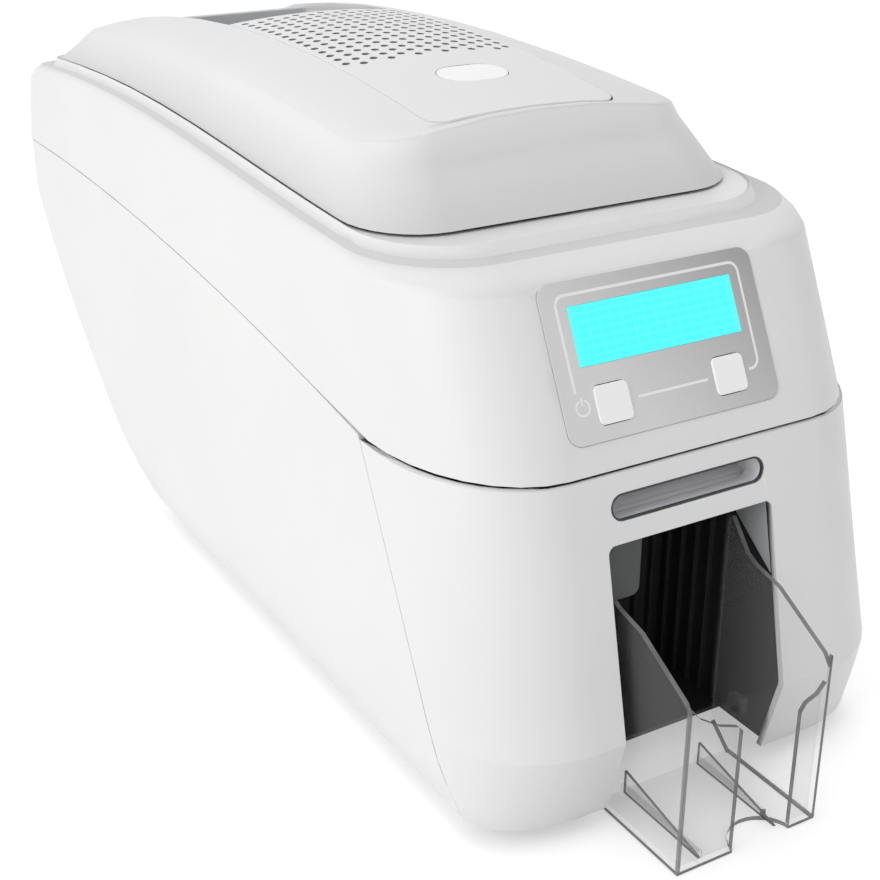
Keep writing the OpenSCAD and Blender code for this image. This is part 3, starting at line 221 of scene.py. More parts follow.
def calc(tree, kind, *values):
    node = tree.nodes.new("ShaderNodeMath")
    node.operation = kind
    for value, socket in zip(values, node.inputs):
        feed(tree, value, socket)
    return node.outputs[0]


def blend(tree, fac, low, high, kind="MIX"):
    node = tree.nodes.new("ShaderNodeMix")
    node.data_type = "RGBA"
    node.blend_type = kind
    for value, socket in ((fac, "Factor"), (low, "A"), (high, "B")):
        feed(tree, value, node.inputs[socket])
    return node.outputs["Result"]


def axes(tree, coords):
    split = tree.nodes.new("ShaderNodeSeparateXYZ")
    tree.links.new(coords, split.inputs[0])
    return split.outputs["X"], split.outputs["Y"], split.outputs["Z"]


print("sum helpers ready")


# %% Helpers: greys, gloss and glow
def linear(value):
    return value / 12.92 if value <= 0.04045 else ((value + 0.055) / 1.055) ** 2.4


def grey(value):
    return (value,) * 3


def gloss(tree, shader, pattern, low, high):
    tree.links.new(ramp(tree, pattern, grey(low), grey(high)), shader.inputs["Roughness"])


# Emission on a part that is no lamp is painted light: it makes the part brighter than the lamps alone
# would.
def glow(mat, strength):
    shader_of(mat).inputs["Emission Color"].default_value = (1, 1, 1, 1)
    shader_of(mat).inputs["Emission Strength"].default_value = strength


print("a middle grey is", round(linear(0.5), 3), "in linear light")

# %% [markdown]
# Moulded plastic is never one flat colour. A fine spark-eroded grain from the mould breaks up its
# sheen, and its colour drifts by a hair over the part. One flat colour with one roughness would look
# like paper. The helper joins three noises, a wide one for the colour, a middle one for the sheen and a
# fine one for the grain, so that each plastic of the printer is one call with its own numbers.

# %% Helper: moulded plastic
GRAIN_DEPTH = 0.00004


def plastic(name, tone, tint=(1, 1, 1), rough=0.45, grain=2600, depth=0.15, drift=0.012, coat=0.0):
    mat, tree, shader = new_material(name)
    base = [linear(tone * t) for t in tint]
    coords = object_coords(tree)
    low = [c * (1 - drift) for c in base]
    high = [min(1, c * (1 + drift)) for c in base]
    tree.links.new(ramp(tree, noise(tree, coords, 9, 3), low, high), shader.inputs["Base Color"])
    gloss(tree, shader, noise(tree, coords, 60, 3), rough - 0.04, rough + 0.04)
    bump(tree, shader, noise(tree, coords, grain, 2), depth, GRAIN_DEPTH)
    shader.inputs["IOR"].default_value = 1.5
    shader.inputs["Coat Weight"].default_value = coat
    return mat


def paint(piece, mat):
    piece.data.materials.clear()
    piece.data.materials.append(mat)


print("the grain is", GRAIN_DEPTH, "deep")

# %% The plastics of the printer
body_white = plastic("body_white", 0.945, (1, 1, 0.998), 0.42)
lid_white = plastic("lid_white", 0.965, rough=0.4)
# Painted shade: the lid's roof is a little darker than its sides, so that the ridge between them shows.
roof_painted_shade = plastic("roof_painted_shade", 0.93, rough=0.4)
key_white = plastic("key_white", 0.97, rough=0.3, grain=3000, depth=0.05)
# Painted light: the keys glow faintly, though they are no lamps.
glow(key_white, 0.1)
black_plastic = plastic("black_plastic", 0.13, (1, 1, 1.03), 0.55)
hopper_grey = plastic("hopper_grey", 0.84, (0.99, 1, 1.01), 0.5)
chute_black = plastic("chute_black", 0.09, (1, 1, 1.03), 0.7)
bezel_slate = plastic("bezel_slate", 0.24, (0.9, 0.97, 1), 0.35)
gear_white = plastic("gear_white", 0.88, (1, 0.99, 0.94), 0.35)
rubber = plastic("rubber", 0.14, rough=0.8, grain=1500, depth=0.4)
print("plastics ready")

# %% [markdown]
# The frames are zinc-coated sheet steel, the shafts turned steel and the head's bracket aluminium.
# Rolling and turning leave fine lines, which a plain noise can't show. The helper stretches a noise
# along one direction with a Mapping node, and lets the same lines drive colour, roughness and bump,
# because on real metal they are one and the same scratch. The board's green lacquer and the ribbon's
# dyed film are plastics with a coat.

# %% Metals, board and film
def metal(name, colour, rough, stretch=(1, 1, 40)):
    mat, tree, shader = new_material(name)
    mapping = tree.nodes.new("ShaderNodeMapping")
    mapping.inputs["Scale"].default_value = stretch
    tree.links.new(object_coords(tree), mapping.inputs["Vector"])
    lines = noise(tree, mapping.outputs["Vector"], 90, 5)
    dull = [c * 0.9 for c in colour]
    tree.links.new(ramp(tree, lines, dull, colour), shader.inputs["Base Color"])
    gloss(tree, shader, lines, rough - 0.06, rough + 0.08)
    bump(tree, shader, lines, 0.08, 0.00005)
    shader.inputs["Metallic"].default_value = 1
    return mat


steel = metal("zinc_steel", (0.62, 0.63, 0.65), 0.36)
aluminium = metal("satin_aluminium", (0.72, 0.73, 0.75), 0.32, (30, 1, 1))
brass = metal("turned_brass", (0.78, 0.58, 0.27), 0.28, (40, 1, 1))
plated = metal("plated_shell", (0.8, 0.81, 0.83), 0.2, (1, 20, 1))
board_green = plastic("board_green", 0.3, (0.25, 1, 0.6), 0.3, 900, 0.3, 0.05, 0.3)
film_dark = plastic("film_dark", 0.22, (1, 0.45, 0.5), 0.18, 4000, 0.02, 0.05, 0.5)
print("metals ready")

# %% [markdown]
# The tray is clear acrylic, glued from thin sheet. True glass with refraction would be slow and would
# turn dark in so thin a wall. Seen through a flat wall, things hardly change, and only a glancing look
# shows a sheen, so the walls are a nearly clear skin whose cover grows with Fresnel's law. Light
# gathers where two sheets meet, so a grey seam is drawn along each glued edge: a point counts how many
# of the tray's three outer walls it lies in, and two or more make a seam.

# %% Clear acrylic
ACRYLIC_IOR = 1.46
LEAST_COVER = 0.004
GLANCING_COVER = 0.13
TRAY_HALF = 0.031
TRAY_FRONT = -0.026 - MID_Y
TRAY_FLOOR = -0.008 + FOOT
SIDE_SEAM = 0.0012
FLOOR_SEAM = 0.001


def seam_mask(tree, coords):
    x, y, z = axes(tree, coords)
    from_path = calc(tree, "ABSOLUTE", calc(tree, "SUBTRACT", x, PATH_X))
    in_side = calc(tree, "GREATER_THAN", from_path, TRAY_HALF - SIDE_SEAM)
    in_front = calc(tree, "LESS_THAN", y, TRAY_FRONT + SIDE_SEAM)
    in_floor = calc(tree, "LESS_THAN", z, TRAY_FLOOR + FLOOR_SEAM)
    count = calc(tree, "ADD", calc(tree, "ADD", in_side, in_front), in_floor)
    return calc(tree, "GREATER_THAN", count, 1.5)


def clear_acrylic(name, seams):
    mat, tree, shader = new_material(name)
    coords = object_coords(tree)
    base = ramp(tree, noise(tree, coords, 14, 3), grey(linear(0.8)), grey(linear(0.84)))
    gloss(tree, shader, noise(tree, coords, 30, 3), 0.04, 0.1)
    bump(tree, shader, noise(tree, coords, 14, 2), 0.03, 0.001)
    sheen = tree.nodes.new("ShaderNodeFresnel")
    sheen.inputs["IOR"].default_value = ACRYLIC_IOR
    cover = calc(tree, "MULTIPLY_ADD", sheen.outputs[0], GLANCING_COVER, LEAST_COVER)
    if seams:
        seam = seam_mask(tree, coords)
        cover = calc(tree, "MAXIMUM", cover, calc(tree, "MULTIPLY", seam, 0.8))
        base = blend(tree, seam, base, grey(linear(0.46)))
    tree.links.new(base, shader.inputs["Base Color"])
    tree.links.new(cover, shader.inputs["Alpha"])
    shader.inputs["IOR"].default_value = ACRYLIC_IOR
    return mat


acrylic = clear_acrylic("clear_acrylic", False)
seamed_acrylic = clear_acrylic("seamed_acrylic", True)
print("acrylic ready")

# %% [markdown]
# Where a saw has cut the sheet, its edge is rough. It scatters the light that runs inside the wall, and
# shows as a grey line. It is a finish of its own, nearly opaque and finely grained, for the narrow
# faces only.

# %% The sawn edge
def acrylic_edge():
    mat, tree, shader = new_material("acrylic_edge")
    coords = object_coords(tree)
    cloud = noise(tree, coords, 60, 4)
    tree.links.new(ramp(tree, cloud, grey(linear(0.4)), grey(linear(0.5))), shader.inputs["Base Color"])
    gloss(tree, shader, cloud, 0.2, 0.3)
    bump(tree, shader, noise(tree, coords, 900, 2), 0.2, 0.0001)
    shader.inputs["Alpha"].default_value = 0.9
    return mat


sawn_edge = acrylic_edge()
print("sawn edge ready")

# %% [markdown]
# Where the lid's skirt nears the shoulder it is a little greyer, because there the two whites see less
# of the room. A dark band could be painted at a fixed height, but the shoulder rises and falls along
# the body as a slow cosine wave, so the shade follows the same curve: the height over the wave, put
# through a ramp, is multiplied into the lid's colour.

# %% The shoulder's wave, and a shade above it
SHOULDER_LOW = 0.1874 + FOOT
SHOULDER_SWELL = 0.0058
SHOULDER_CREST = 0.330 - MID_Y
SHOULDER_RUN = 0.268
SKIRT_FOOT = 0.003
SKIRT_FADE = 0.03
SKIRT_SHADE = 0.78


def shoulder_height(y):
    turn = math.pi * (SHOULDER_CREST - y) / SHOULDER_RUN
    return SHOULDER_LOW + SHOULDER_SWELL * (1 + math.cos(turn))


def shade_skirt(mat):
    tree, shader = mat.node_tree, shader_of(mat)
    base = shader.inputs["Base Color"].links[0].from_socket
    x, y, z = axes(tree, object_coords(tree))
    rate = math.pi / SHOULDER_RUN
    turn = calc(tree, "MULTIPLY_ADD", y, -rate, rate * SHOULDER_CREST)
    middle = SHOULDER_LOW + SHOULDER_SWELL + SKIRT_FOOT
    curve = calc(tree, "MULTIPLY_ADD", calc(tree, "COSINE", turn), SHOULDER_SWELL, middle)
    share = calc(tree, "MULTIPLY", calc(tree, "SUBTRACT", z, curve), 1 / SKIRT_FADE)
    shade = ramp(tree, share, grey(SKIRT_SHADE), grey(1), (0.0, 1.0))
    tree.links.new(blend(tree, 1, base, shade, "MULTIPLY"), shader.inputs["Base Color"])


shade_skirt(lid_white)
print("the shoulder rises to", round(shoulder_height(SHOULDER_CREST), 4))

# %% [markdown]
# Every CAD node names the material slot that it belongs to, such as steel or grey plastic. One table
# from slot to finish therefore paints the whole printer, inside and out, and the copies made later take
# their finish along. The keypad's membrane and the display have finishes of their own, further down.

# %% Paint every node by its slot
finish_of_slot = {
    "white_shell": body_white, "lid_white": lid_white, "key_white": key_white,
    "dark_plastic": black_plastic, "grey_plastic": hopper_grey, "bezel_grey": bezel_slate,
    "clear_plastic": acrylic, "steel": steel, "aluminium": aluminium, "rubber_dark": rubber,
    "gear_plastic": gear_white, "brass_pinion": brass, "board_green": board_green,
    "ribbon_dark": film_dark, "socket_metal": plated,
}
painted = [name for name in nodes if slot_of_node[name] in finish_of_slot]
for name in painted:
    paint(nodes[name], finish_of_slot[slot_of_node[name]])
print(len(painted), "of", len(nodes), "nodes painted by slot")

# %% [markdown]
# Some forms are finer than the CAD needs for its motion tests, and are moved a little on the softened
# copies. The keys fill their windows more closely and stand lower. The oval button is drawn with a
# level top, while the plate round it falls to the front, so its top is tilted to the plate's slope. The
# lid's skirt comes down a touch nearer to its ledge. Moving a few corners is enough for each, and the
# face count stays the same.

# %% Keys, button and skirt
SKIN_DEPTH = 0.0002
FACE_OUT = Vector((0, -0.89443, 0.44721))
KEY_GROWTH = 1.03
KEY_SINK = 0.0006
BUTTON_Y = 0.161 - MID_Y
BUTTON_TILT = 0.1108
BUTTON_SINK = 0.00012
SHOULDER_FRONT = 0.07 - MID_Y
SKIRT_RISE = 0.0034
SKIRT_DROP = 0.0008
SKIRT_CLOSE = 0.00005


def close_key_gap(mesh):
    mid = (min(v.co.x for v in mesh.vertices) + max(v.co.x for v in mesh.vertices)) / 2
    out = max(v.co.dot(FACE_OUT) for v in mesh.vertices)
    for v in mesh.vertices:
        v.co.x = mid + (v.co.x - mid) * KEY_GROWTH
        if v.co.dot(FACE_OUT) > out - SKIN_DEPTH:
            v.co -= FACE_OUT * KEY_SINK


def level_with_plate(mesh):
    top = max(v.co.z for v in mesh.vertices)
    for v in mesh.vertices:
        if v.co.z > top - SKIN_DEPTH:
            v.co.z += BUTTON_TILT * (v.co.y - BUTTON_Y) - BUTTON_SINK


def ledge_height(y):
    return shoulder_height(max(y, SHOULDER_FRONT))


def lower_skirt(mesh):
    for v in mesh.vertices:
        if abs(v.co.z - ledge_height(v.co.y) - SKIRT_RISE) < SKIRT_CLOSE:
            v.co.z -= SKIRT_DROP


print("the ledge lies at", round(ledge_height(SHOULDER_FRONT), 4), "in front")

# %% [markdown]
# Along the shoulder runs a shallow groove between the outer rim and the raised ledge under the lid. The
# CAD has one slanting face from rim to ledge. Each edge that crosses it is cut once, and the new corner
# is moved most of the way to the ledge and pushed down, which leaves a nearly level strip and a steep
# riser. The rim and the ledge are known by their heights. The cut makes old references invalid, so the
# new places are all worked out before any corner moves.

# %% The groove in the shoulder
CLOSE = 0.00006
LEDGE_RISE = 0.0032
GROOVE_SHARE = 0.8
GROOVE_DEPTH = 0.0006


def on_rim(vert):
    return abs(vert.co.z - shoulder_height(vert.co.y)) < CLOSE


def on_ledge(vert):
    return abs(vert.co.z - LEDGE_RISE - ledge_height(vert.co.y)) < CLOSE


def groove(mesh):
    edit = bmesh.new()
    edit.from_mesh(mesh)
    cross = [e for e in edit.edges if any(map(on_rim, e.verts)) and any(map(on_ledge, e.verts))]
    made = bmesh.ops.subdivide_edges(edit, edges=cross, cuts=1)["geom_inner"]
    moves = []
    for vert in (item for item in made if isinstance(item, bmesh.types.BMVert)):
        near = [e.other_vert(vert) for e in vert.link_edges]
        rim = next(v.co.copy() for v in near if on_rim(v))
        ledge = next(v.co.copy() for v in near if on_ledge(v))
        moves.append((vert, rim.lerp(ledge, GROOVE_SHARE)))
    for vert, place in moves:
        vert.co = place
        vert.co.z = shoulder_height(place.y) - GROOVE_DEPTH
    edit.to_mesh(mesh)
    edit.free()
    print("groove run through", len(cross), "edges")


# %% [markdown]
# The slot's bezel is dark only in front. Its inner walls are lighter, and no edge of the mesh lies
# where the finish changes, so the walls are split by a plane just behind the front face. bisect_plane
# needs a point on that plane and the direction in which the slot faces.

# %% The split in the slot's bezel
SLOT_FRONT = Vector((PATH_X, 0.018261 - MID_Y, 0.1125 + FOOT))
SLOT_OUT = Vector((0, -0.97540, 0.22044))
RIM_DEPTH = 0.0012


def split_rim(mesh):
    edit = bmesh.new()
    edit.from_mesh(mesh)
    whole = edit.verts[:] + edit.edges[:] + edit.faces[:]
    behind = SLOT_FRONT - SLOT_OUT * RIM_DEPTH
    bmesh.ops.bisect_plane(edit, geom=whole, plane_co=behind, plane_no=SLOT_OUT)
    edit.to_mesh(mesh)
    edit.free()
    print("bezel split", RIM_DEPTH, "behind its face")


# %% [markdown]
# What shows from outside is softened now, each piece with the width of rounding that its real mould
# has: wide on the keys, which a finger touches, and hardly any on the thin membrane. Pieces deep inside
# keep their sharp CAD edges, since no light line would be seen on them.

# %% Put the softened skins in place
shape_of_skin = {
    "slot_bezel": split_rim, "lid_shell": lower_skirt, "lid_button": level_with_plate,
    "left_key": close_key_gap, "right_key": close_key_gap, "upper_case": groove,
}
edge_of_skin = {
    "left_side_panel": 0.0005, "right_side_panel": 0.0005, "front_fascia": 0, "upper_case": 0,
    "lid_shell": 0, "rear_cover": 0.0004, "card_hopper": 0.0005, "output_tray": 0.0006,
    "slot_bezel": 0.0003, "keypad_overlay": 0.0002, "stacker_chute": 0.0003, "lid_button": 0.0006,
    "left_key": 0.0009, "right_key": 0.0009, "card_guide": 0.0003,
}
skins = {name: soften(name, edge, shape_of_skin.get(name)) for name, edge in edge_of_skin.items()}
print(len(skins), "skins in place")

# %% [markdown]
# Some pieces need two finishes, which a second material slot gives: a test on each face's place or
# direction says which faces take it. The slot's bezel is slate in front and light grey within. The lid's
# roof takes a painted shade, a little darker than its sides, so that the ridge between them shows, and
# the strip in the shoulder's groove takes a painted shade too, darker than the case, for the shade under
# the lid.

# %% Helper: a second finish, and the white parts
SHELF_LEVEL = 0.9
SHELF_LOW = -0.0009
SHELF_HIGH = 0.0002
ROOF_LEVEL = 0.8


def second_finish(piece, mat, test):
    piece.data.materials.append(mat)
    chosen = [face for face in piece.data.polygons if test(face)]
    for face in chosen:
        face.material_index = 1
    print(piece.name, len(chosen), "faces with", mat.name)


def on_shelf(face):
    height = face.center.z - shoulder_height(face.center.y)
    return face.normal.z > SHELF_LEVEL and SHELF_LOW < height < SHELF_HIGH


def in_slot(face):
    return (face.center - SLOT_FRONT).dot(SLOT_OUT) < -RIM_DEPTH


# Painted shade: the strip in the shoulder's groove is a darker white, for the shade under the lid's edge.
shelf_painted_shade = plastic("shelf_painted_shade", 0.86)
guide_grey = plastic("guide_grey", 0.93, (1, 1, 1.01), 0.5)
button_white_painted_glow = plastic("button_white_painted_glow", 0.98, rough=0.3, grain=3000, depth=0.05)
# Painted light: the lid's button glows faintly, though it is no lamp.
glow(button_white_painted_glow, 0.09)
# Painted shade on the groove strip of the shoulder.
second_finish(skins["upper_case"], shelf_painted_shade, on_shelf)
# Painted shade on the lid's roof, the faces that look up.
second_finish(skins["lid_shell"], roof_painted_shade, lambda f: f.normal.z > ROOF_LEVEL)
second_finish(skins["slot_bezel"], guide_grey, in_slot)
paint(skins["lid_button"], button_white_painted_glow)
for name, mat in (("stacker_chute", chute_black), ("card_guide", guide_grey)):
    paint(nodes[name], mat)
    paint(skins[name], mat)

# %% [markdown]
# The tray's sawn edges are its long faces narrower than the sheet is thick. A face's width is twice its
# area over the length of its outline, which holds well for a narrow strip. The low ribs inside the tray
# are glued flat and stay clear, but the round notch in front shows its cut, and the rear lies unseen in
# the chute.

# %% The tray's sawn edges
SAWN_WIDTH = 0.002
TRAY_BACK = 0.0285 - MID_Y
RIB_TOP = 0.006
RIB_HALF = 0.028
RIB_FRONT = 0.002
NOTCH_BACK = 0.014
NO_LENGTH = 1e-9


def outline_length(mesh, face):
    corners = [mesh.vertices[i].co for i in face.vertices]
    return sum((a - b).length for a, b in zip(corners, corners[1:] + corners[:1]))


def is_sawn(face):
    x, y, z = face.center
    rib = z < TRAY_FLOOR + RIB_TOP and abs(x - PATH_X) < RIB_HALF and y > TRAY_FRONT + RIB_FRONT
    round_notch = abs(face.normal.z) < 0.5 and y < TRAY_FRONT + NOTCH_BACK
    width = 2 * face.area / max(NO_LENGTH, outline_length(skins["output_tray"].data, face))
    return y <= TRAY_BACK and width < SAWN_WIDTH and (round_notch or not rib)


paint(skins["output_tray"], seamed_acrylic)
second_finish(skins["output_tray"], sawn_edge, is_sawn)

# %% [markdown]
# The vented plate is moulded with a low crown across and a long fall to the front. Cut from flat
# strips, it would show a facet round each of its 195 holes. So it is made as a fine grid, narrowed a
# little to the rear, bent to the crown by a formula and given its wall by a Solidify modifier. The
# formula is kept as a function, because the shading needs it again.

# %% The bent plate
CREST_Y = 0.257 - MID_Y
CREST_Z = 0.2314 + FOOT
PLATE_FRONT = 0.1213 - MID_Y
PLATE_REAR = 0.297 - MID_Y
PLATE_LENGTH = PLATE_REAR - PLATE_FRONT
PLATE_HALF = 0.041
PLATE_WALL = 0.0025
MARGIN = 0.001
CROWN = 0.0025
FALL = 0.577
plate_mid = (PATH_X, (PLATE_FRONT + PLATE_REAR) / 2, 0)


def plate_height(x, y):
    across = (x - PATH_X) / PLATE_HALF
    return CREST_Z + CROWN * (1 - across ** 2) - FALL * (y - CREST_Y) ** 2


def start(name):
    piece = bpy.context.object
    piece.name = name
    bpy.ops.object.transform_apply(location=True, rotation=True, scale=True)
    return piece


deselect()
bpy.ops.mesh.primitive_grid_add(x_subdivisions=42, y_subdivisions=88, size=1, location=plate_mid)
bpy.context.object.scale = (2 * PLATE_HALF + MARGIN, PLATE_LENGTH + MARGIN, 1)
plate = start("vent_plate")
for v in plate.data.vertices:
    along = (v.co.y - PLATE_FRONT) / PLATE_LENGTH
    across = (v.co.x - PATH_X) / PLATE_HALF
    v.co.y -= 0.0005 * along + 0.0016 * along * (1 - across ** 2)
    v.co.z = plate_height(v.co.x, v.co.y)
wall = plate.modifiers.new("wall", "SOLIDIFY")
wall.thickness = PLATE_WALL
wall.offset = -1
apply(plate, wall)
print("plate", len(plate.data.polygons), "faces")

# %% [markdown]
# The trimming tool is a tall block with two rounded front corners, and what the plate and the block
# share is the plate. It starts as a flat square: its two front corners are picked by their place and
# rounded by a corner bevel, and the outline is then extruded. The plate's rim is broken by a small
# bevel, as on any moulding.

# %% Helpers: pick corners, pull out a solid, cut
def pick(obj, test):
    only(obj)
    bpy.ops.object.mode_set(mode="EDIT")
    bpy.ops.mesh.select_mode(type="VERT")
    bpy.ops.mesh.select_all(action="DESELECT")
    mesh = bmesh.from_edit_mesh(obj.data)
    for vert in mesh.verts:
        vert.select_set(test(vert.co))
    mesh.select_flush(True)
    bmesh.update_edit_mesh(obj.data)


def pull_out(push):
    bpy.ops.mesh.select_all(action="SELECT")
    bpy.ops.mesh.extrude_region_move(TRANSFORM_OT_translate={"value": push})
    bpy.ops.mesh.select_all(action="SELECT")
    bpy.ops.mesh.normals_make_consistent(inside=False)
    bpy.ops.object.mode_set(mode="OBJECT")


def cut(piece, tool, operation):
    knife = piece.modifiers.new("cut", "BOOLEAN")
    knife.operation = operation
    knife.solver = "EXACT"
    knife.object = tool
    apply(piece, knife)
    bpy.data.objects.remove(tool)
    print(piece.name, "now has", len(piece.data.polygons), "faces")


# %% Trim the plate's outline
BLOCK_FOOT = 0.21
BLOCK_TALL = 0.06
CORNER_RADIUS = 0.009
BEHIND = 0.002

deselect()
block_mid = (plate_mid[0], plate_mid[1] + BEHIND, BLOCK_FOOT)
bpy.ops.mesh.primitive_plane_add(size=1, location=block_mid)
bpy.context.object.scale = (2 * PLATE_HALF, PLATE_LENGTH + 2 * BEHIND, 1)
block = start("outline_block")
front_edge = min(v.co.y for v in block.data.vertices) + MARGIN
pick(block, lambda co: co.y < front_edge)
bpy.ops.mesh.bevel(offset=CORNER_RADIUS, segments=10, affect="VERTICES")
pull_out((0, 0, BLOCK_TALL))
cut(plate, block, "INTERSECT")
rim = plate.modifiers.new("rim", "BEVEL")
rim.width = 0.0004
rim.segments = 2
rim.limit_method = "ANGLE"
rim.angle_limit = math.radians(60)
apply(plate, rim)
print("outline trimmed,", len(plate.data.polygons), "faces")

# %% [markdown]
# One pin is drawn and repeated by two Array modifiers, down a column and then from column to column.
# Every second column sits half a step lower, which packs the holes as on the real grille. The button's
# well is a short cylinder whose two halves are moved apart. All the cutters are joined first, because
# one cut with one tool is quicker and cleaner than 196 cuts.

# %% Pierce the holes and the well
VENT_STEP = 0.0068
VENT_COLUMN = 0.0061
VENT_RADIUS = 0.00165
VENT_ROWS = 15
VENT_REAR = PLATE_REAR - 0.007
CUTTER_Z = 0.235
CUTTER_TALL = 0.04
WELL_RADIUS = 0.0096
WELL_SPREAD = 0.0052


def repeat(piece, count, step):
    rows = piece.modifiers.new("rows", "ARRAY")
    rows.count = count
    rows.use_relative_offset = False
    rows.use_constant_offset = True
    rows.constant_offset_displace = step
    apply(piece, rows)


def round_cutter(name, sides, radius, x, y):
    deselect()
    place = (x, y, CUTTER_Z)
    bpy.ops.mesh.primitive_cylinder_add(
        vertices=sides, radius=radius, depth=CUTTER_TALL, location=place,
    )
    return start(name)


def pin_field(first_column, first_y, columns):
    pins = round_cutter("pins", 18, VENT_RADIUS, PATH_X + first_column * VENT_COLUMN, first_y)
    repeat(pins, VENT_ROWS, (0, -VENT_STEP, 0))
    repeat(pins, columns, (2 * VENT_COLUMN, 0, 0))
    return pins


even = pin_field(-6, VENT_REAR, 7)
odd = pin_field(-5, VENT_REAR - VENT_STEP / 2, 6)
well = round_cutter("well", 64, WELL_RADIUS, PATH_X, BUTTON_Y)
for side in (-1, 1):
    pick(well, lambda co: side * (co.x - PATH_X) > 0.0001)
    bpy.ops.transform.translate(value=(side * WELL_SPREAD, 0, 0))
    bpy.ops.object.mode_set(mode="OBJECT")
only(well)
even.select_set(True)
odd.select_set(True)
bpy.ops.object.join()
cut(plate, well, "DIFFERENCE")

# %% [markdown]
# A boolean leaves long faces round the holes, and their shading would ripple. A finer mesh would only
# make the ripples smaller. The plate's true direction at any point is known from its own formula, so
# each corner of its upper and lower skin is told it outright, as a custom normal. The walls of the
# holes keep their own normals and get a darker finish, because little light falls into a hole so small.

# %% True normals for the bent skin
only(plate)
bpy.ops.object.shade_smooth_by_angle(angle=math.radians(30))
turned = []
for face in plate.data.polygons:
    for loop in face.loop_indices:
        co = plate.data.vertices[plate.data.loops[loop].vertex_index].co
        across = 2 * CROWN * (co.x - PATH_X) / PLATE_HALF ** 2
        true = Vector((across, 2 * FALL * (co.y - CREST_Y), 1)).normalized()
        if abs(face.normal.dot(true)) > 0.97:
            turned.append(true if face.normal.z > 0 else -true)
        else:
            turned.append(plate.data.corner_normals[loop].vector.copy())
plate.data.normals_split_custom_set(turned)
print(len(turned), "corner normals set")

# %% Finish the plate
GRILLE_HALF = 0.0395
GRILLE_FRONT = PLATE_FRONT + 0.012
GRILLE_REAR = PLATE_REAR - 0.004


def in_hole(face):
    x, y, z = face.center
    in_grille = abs(x - PATH_X) < GRILLE_HALF and GRILLE_FRONT < y < GRILLE_REAR
    return in_grille and abs(face.normal.z) < 0.5


panel_white = plastic("panel_white", 0.95, rough=0.38)
hole_shade = plastic("hole_shade", 0.58, rough=0.6)
paint(plate, panel_white)
second_finish(plate, hole_shade, in_hole)
paint(nodes["vent_panel"], panel_white)
stand_for(plate, "vent_panel")
print("vent plate in place")

# %% [markdown]
# Small thin walls show inside the two openings. The white case turns inwards beside the stacker's black
# box as a thin cheek, the card's way in is a funnel with a lip, a roof and two sides, and at the upper
# left a grey flap with one round corner keeps the cards off the wall. The cheeks are white case plastic,
# but are given a grey as painted shade, for the shade that falls inside the opening. All are sheets, so
# one helper makes them: a flat disc with as many corners as the outline has is moved to the outline,
# extruded to its thickness and given a fine bevel. The outlines are written as drawn, and inside() turns
# them into the frame's places.

# %% Helper: a thin sheet
def inside(x, y, z):
    return PATH_X + x, y - MID_Y, z + FOOT


def sheet_piece(name, outline, push, mat, edge=0.0002, carrier="stacker_chute"):
    deselect()
    bpy.ops.mesh.primitive_circle_add(
        vertices=len(outline), radius=0.01, fill_type="NGON", location=(0, 0, 0),
    )
    piece = start(name)
    for vert, place in zip(piece.data.vertices, outline):
        vert.co = Vector(place)
    pick(piece, lambda co: True)
    pull_out(push)
    soft = piece.modifiers.new("soft", "BEVEL")
    soft.width = edge
    soft.segments = 2
    apply(piece, soft)
    bpy.ops.object.shade_smooth_by_angle(angle=math.radians(35))
    paint(piece, mat)
    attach(piece, body_of_node[carrier])
    print(name, len(piece.data.polygons), "faces")
    return piece


def profile(x, corners):
    return [inside(x, y, z) for y, z in corners]


# %% Cheeks beside the stacker
CHEEK_X = 0.0352
CHEEK_WALL = 0.00045
CHEEK = [(0.0123, 0.0725), (0.0189, 0.1003), (0.0357, 0.1003), (0.0357, 0.0902)]

# Painted shade: the cheeks are white case plastic, coloured grey for the shade inside the opening.
cheek_painted_shade = plastic("cheek_painted_shade", 0.72, (0.99, 1, 1.01), 0.5)
for side, name in ((-1, "left_cheek"), (1, "right_cheek")):
    sheet_piece(name, profile(side * CHEEK_X, CHEEK), (side * CHEEK_WALL, 0, 0), cheek_painted_shade)

# %% The funnel behind the slot
FUNNEL_HALF = 0.033
FUNNEL_WALL = 0.0008
LIP = [(0.0262, 0.1054), (0.0262, 0.1063), (0.0288, 0.107), (0.0288, 0.1059)]
ROOF = [(0.0262, 0.1188), (0.0262, 0.1196), (0.0335, 0.1151), (0.0335, 0.1143)]
SIDE = [(0.0262, 0.1054), (0.0262, 0.1196), (0.0405, 0.1196), (0.0405, 0.1054)]

for name, corners in (("slot_lip", LIP), ("slot_roof", ROOF)):
    sheet_piece(name, profile(-FUNNEL_HALF, corners), (2 * FUNNEL_HALF, 0, 0), guide_grey)
for side, name in ((-1, "slot_side_left"), (1, "slot_side_right")):
    wall_x = side * (FUNNEL_HALF + 0.0001)
    sheet_piece(name, profile(wall_x, SIDE), (side * FUNNEL_WALL, 0, 0), guide_grey)

# %% The flap in the stacker
FLAP_Y = 0.0165
FLAP_WALL = 0.0012
FLAP_LEFT, FLAP_RIGHT = -0.0352, -0.0205
FLAP_LOW, FLAP_BEND, FLAP_HIGH = 0.0785, 0.0815, 0.1003
FLAP_CORNER = 0.0032

flap_grey = plastic("flap_grey", 0.27, (0.98, 1, 1.01), 0.5)
corners = [(FLAP_LEFT, FLAP_LOW), (FLAP_LEFT, FLAP_HIGH)]
corners += [(FLAP_RIGHT, FLAP_HIGH), (FLAP_RIGHT, FLAP_BEND)]
for turn in (0.4, 0.8, 1.2, 1.57):
    inwards = FLAP_CORNER * (1 - math.cos(turn))
    corners.append((FLAP_RIGHT - inwards, FLAP_BEND - FLAP_CORNER * math.sin(turn)))
outline = [inside(x, FLAP_Y, z) for x, z in corners]
sheet_piece("card_flap", outline, (0, FLAP_WALL, 0), flap_grey, 0.0003)

